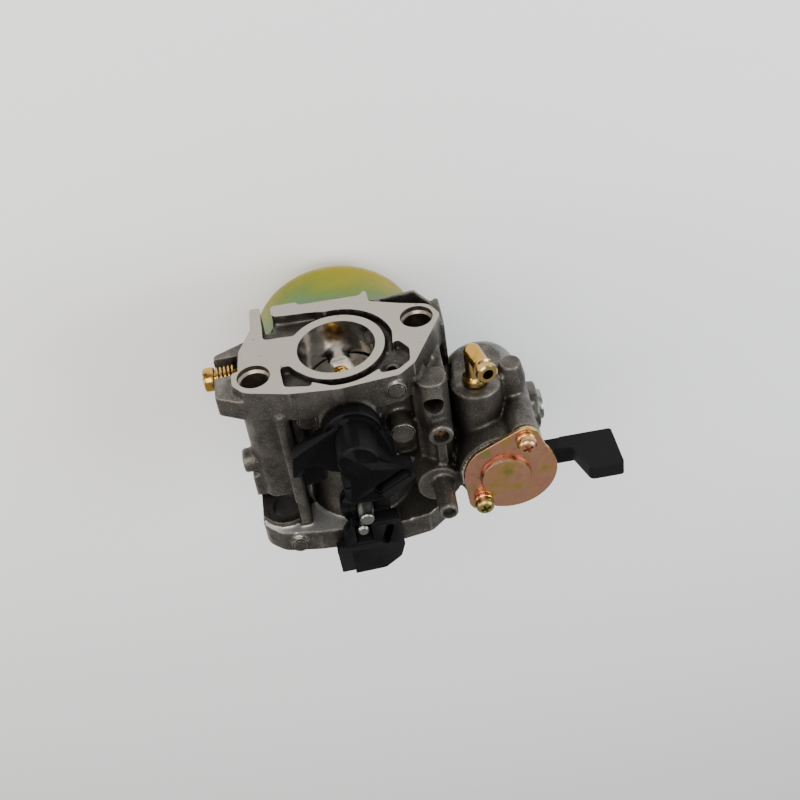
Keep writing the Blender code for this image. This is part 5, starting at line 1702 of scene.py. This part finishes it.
# ---- pilot screw ------------------------------------------------------------
@dataclass
class PilotScrew:
    """The mixture screw and its spring."""

    head: float = -32.8
    y: float = -5.6
    z: float = -2.6
    coils: int = 5
    spring_end: float = -24.8

    @property
    def spring_start(self) -> float:
        """Where the coil sits on the head's inner side, which travels with the screw."""
        return self.head + 3.2

    def screw(self) -> bpy.types.Object:
        """The screw, with a slotted head and a thread on its shank."""
        thread = []
        for k in range(11):
            x = 4.0 + k * 0.9
            thread += [(1.85, x), (1.62, x + 0.45)]
        profile = (
            [
                (0, -2.7), (2.5, -2.7), (2.85, -2.45), (2.95, -2.1), (2.95, -0.4), (2.8, -0.1),
                (2.6, 0), (1.7, 0), (1.7, 3.6),
            ]
            + thread
            + [(1.85, 13.9), (1.1, 14.6), (1.1, 17.0), (0.3, 18.6), (0, 18.6)]
        )
        obj = turned(profile, (self.head + 2.7, self.y, self.z), Axis.X, 48, "pilot_screw_turned")
        slot = block((self.head - 1, -4, -0.45), (self.head + 1.1, 4, 0.45))
        slot.data.transform(
            Matrix.Translation((0, self.y * MM, self.z * MM)) @ Matrix.Rotation(math.radians(25), 4, "X")
        )
        return carve(obj, slot)

    def spring(self) -> bpy.types.Object:
        """The coil, made from a wire section that is screwed along the axis."""
        start = self.spring_start
        wire, radius = 0.34, 2.42
        length = self.spring_end - start
        deselect_all()
        bpy.ops.mesh.primitive_circle_add(
            vertices=12, radius=wire * MM, location=(radius * MM, 0, 0), rotation=(
                math.radians(90), 0, 0
            ), fill_type="NOTHING"
        )
        obj = settle(bpy.context.object, "pilot_screw_spring_coil")
        apply_modifier(
            obj, "SCREW", angle=2 * math.pi * self.coils, screw_offset=length * MM, steps=40 * self.coils,
            render_steps=40 * self.coils, use_merge_vertices=False,
        )
        bpy.ops.object.mode_set(mode="EDIT")
        bpy.ops.mesh.select_all(action="DESELECT")
        bpy.ops.mesh.select_mode(type="EDGE")
        bpy.ops.mesh.select_non_manifold(extend=False)
        bpy.ops.mesh.edge_face_add()
        bpy.ops.mesh.select_all(action="SELECT")
        bpy.ops.mesh.normals_make_consistent(inside=False)
        bpy.ops.object.mode_set(mode="OBJECT")
        place = Matrix.Translation((start * MM, self.y * MM, self.z * MM))
        obj.data.transform(place @ Axis.X.matrix())
        return obj

    def make(self) -> None:
        """Builds the screw and its spring."""
        finish_piece(self.screw(), GOLD_ZINC, "pilot", ["pilot_screw"])
        coil = finish_piece(
            self.spring(), GOLD_ZINC, "pilot_carrier", ["pilot_screw_spring"], 60.0,
        )
        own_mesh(coil)


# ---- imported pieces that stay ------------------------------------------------
KEPT: dict[str, Finish] = {
    "throttle_shaft_seal": RUBBER, "valve_gasket": RUBBER, "strainer_cup_seal": RUBBER,
    "float_bowl_seal": RUBBER,
    "valve_wave_spring": STEEL, "strainer_screen": STEEL, "bowl_bolt_washer": STEEL,
    "drain_bolt_washer": STEEL,
    "float_pin": STEEL, "main_jet": BRASS, "emulsion_tube": BRASS, "pilot_jet": BRASS, "needle_seat": BRASS,
    "needle_valve": BRASS, "float": BLACK,
}


def dress_kept() -> None:
    """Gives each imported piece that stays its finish."""
    for node, look in KEPT.items():
        look.paint(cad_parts[node])


# ---- studio -----------------------------------------------------------------
@dataclass
class Studio:
    """A pale floor, soft lights, and the camera."""

    eye: Point = (7.2, 206.0, 249.4)
    right: Point = (0.984, -0.118, 0.130)
    up: Point = (0.175, 0.731, -0.660)
    lens: float = 61.26
    floor: float = -46.2
    aim: Point = (12.0, -24.0, 0.0)

    def lamp(self, name: str, offset: Point, size: float, watts: float, colour: Point) -> None:
        """A soft square light that faces the part, at an offset in mm."""
        data = bpy.data.lights.new(name, "AREA")
        data.size = size * MM
        data.energy = watts
        data.color = colour
        obj = bpy.data.objects.new(name, data)
        bpy.context.scene.collection.objects.link(obj)
        obj.location = (Vector(self.aim) + Vector(offset)) * MM
        obj.rotation_euler = (-Vector(offset)).to_track_quat("-Z", "Y").to_euler()

    def make(self) -> None:
        """Builds the floor, lights, world and camera."""
        deselect_all()
        bpy.ops.mesh.primitive_plane_add(size=6.0, location=(0, 0, self.floor * MM))
        floor = settle(bpy.context.object, "studio_floor")
        paper = bpy.data.materials.new("studio_paper")
        paper.use_nodes = True
        shader = paper.node_tree.nodes["Principled BSDF"]
        shader.inputs["Base Color"].default_value = (0.93, 0.93, 0.93, 1)
        shader.inputs["Roughness"].default_value = 0.9
        floor.data.materials.append(paper)
        self.lamp("key", (-60, 330, 400), 340, 2.6, (1.0, 0.97, 0.93))
        self.lamp("fill", (300, 60, 260), 200, 1.2, (0.88, 0.94, 1.0))
        self.lamp("front", (-330, 120, 200), 240, 0.9, (1.0, 0.94, 0.86))
        world = bpy.data.worlds.new("studio_world")
        world.use_nodes = True
        world.node_tree.nodes["Background"].inputs["Color"].default_value = (1, 1, 1, 1)
        world.node_tree.nodes["Background"].inputs["Strength"].default_value = 0.5
        bpy.context.scene.world = world
        data = bpy.data.cameras.new("camera")
        data.lens = self.lens
        data.clip_start = 0.01
        camera = bpy.data.objects.new("camera", data)
        bpy.context.scene.collection.objects.link(camera)
        across, above = Vector(self.right).normalized(), Vector(self.up).normalized()
        back = across.cross(above).normalized()
        above = back.cross(across)
        matrix = Matrix((across, above, back)).transposed().to_4x4()
        camera.matrix_world = Matrix.Translation(Vector(self.eye) * MM) @ matrix
        bpy.context.scene.camera = camera


def write_sizes() -> None:
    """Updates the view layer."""
    bpy.context.view_layer.update()


def main() -> None:
    """Builds every sub-assembly in order."""
    logging.basicConfig(level=logging.INFO)
    for part in (BodyCasting(), Throttle(), Choke(), FuelTap(), FloatChamber(), PilotScrew()):
        LOG.info("building %s", type(part).__name__)
        part.make()
    dress_kept()
    Studio().make()
    write_sizes()


if __name__ == "__main__":
    main()
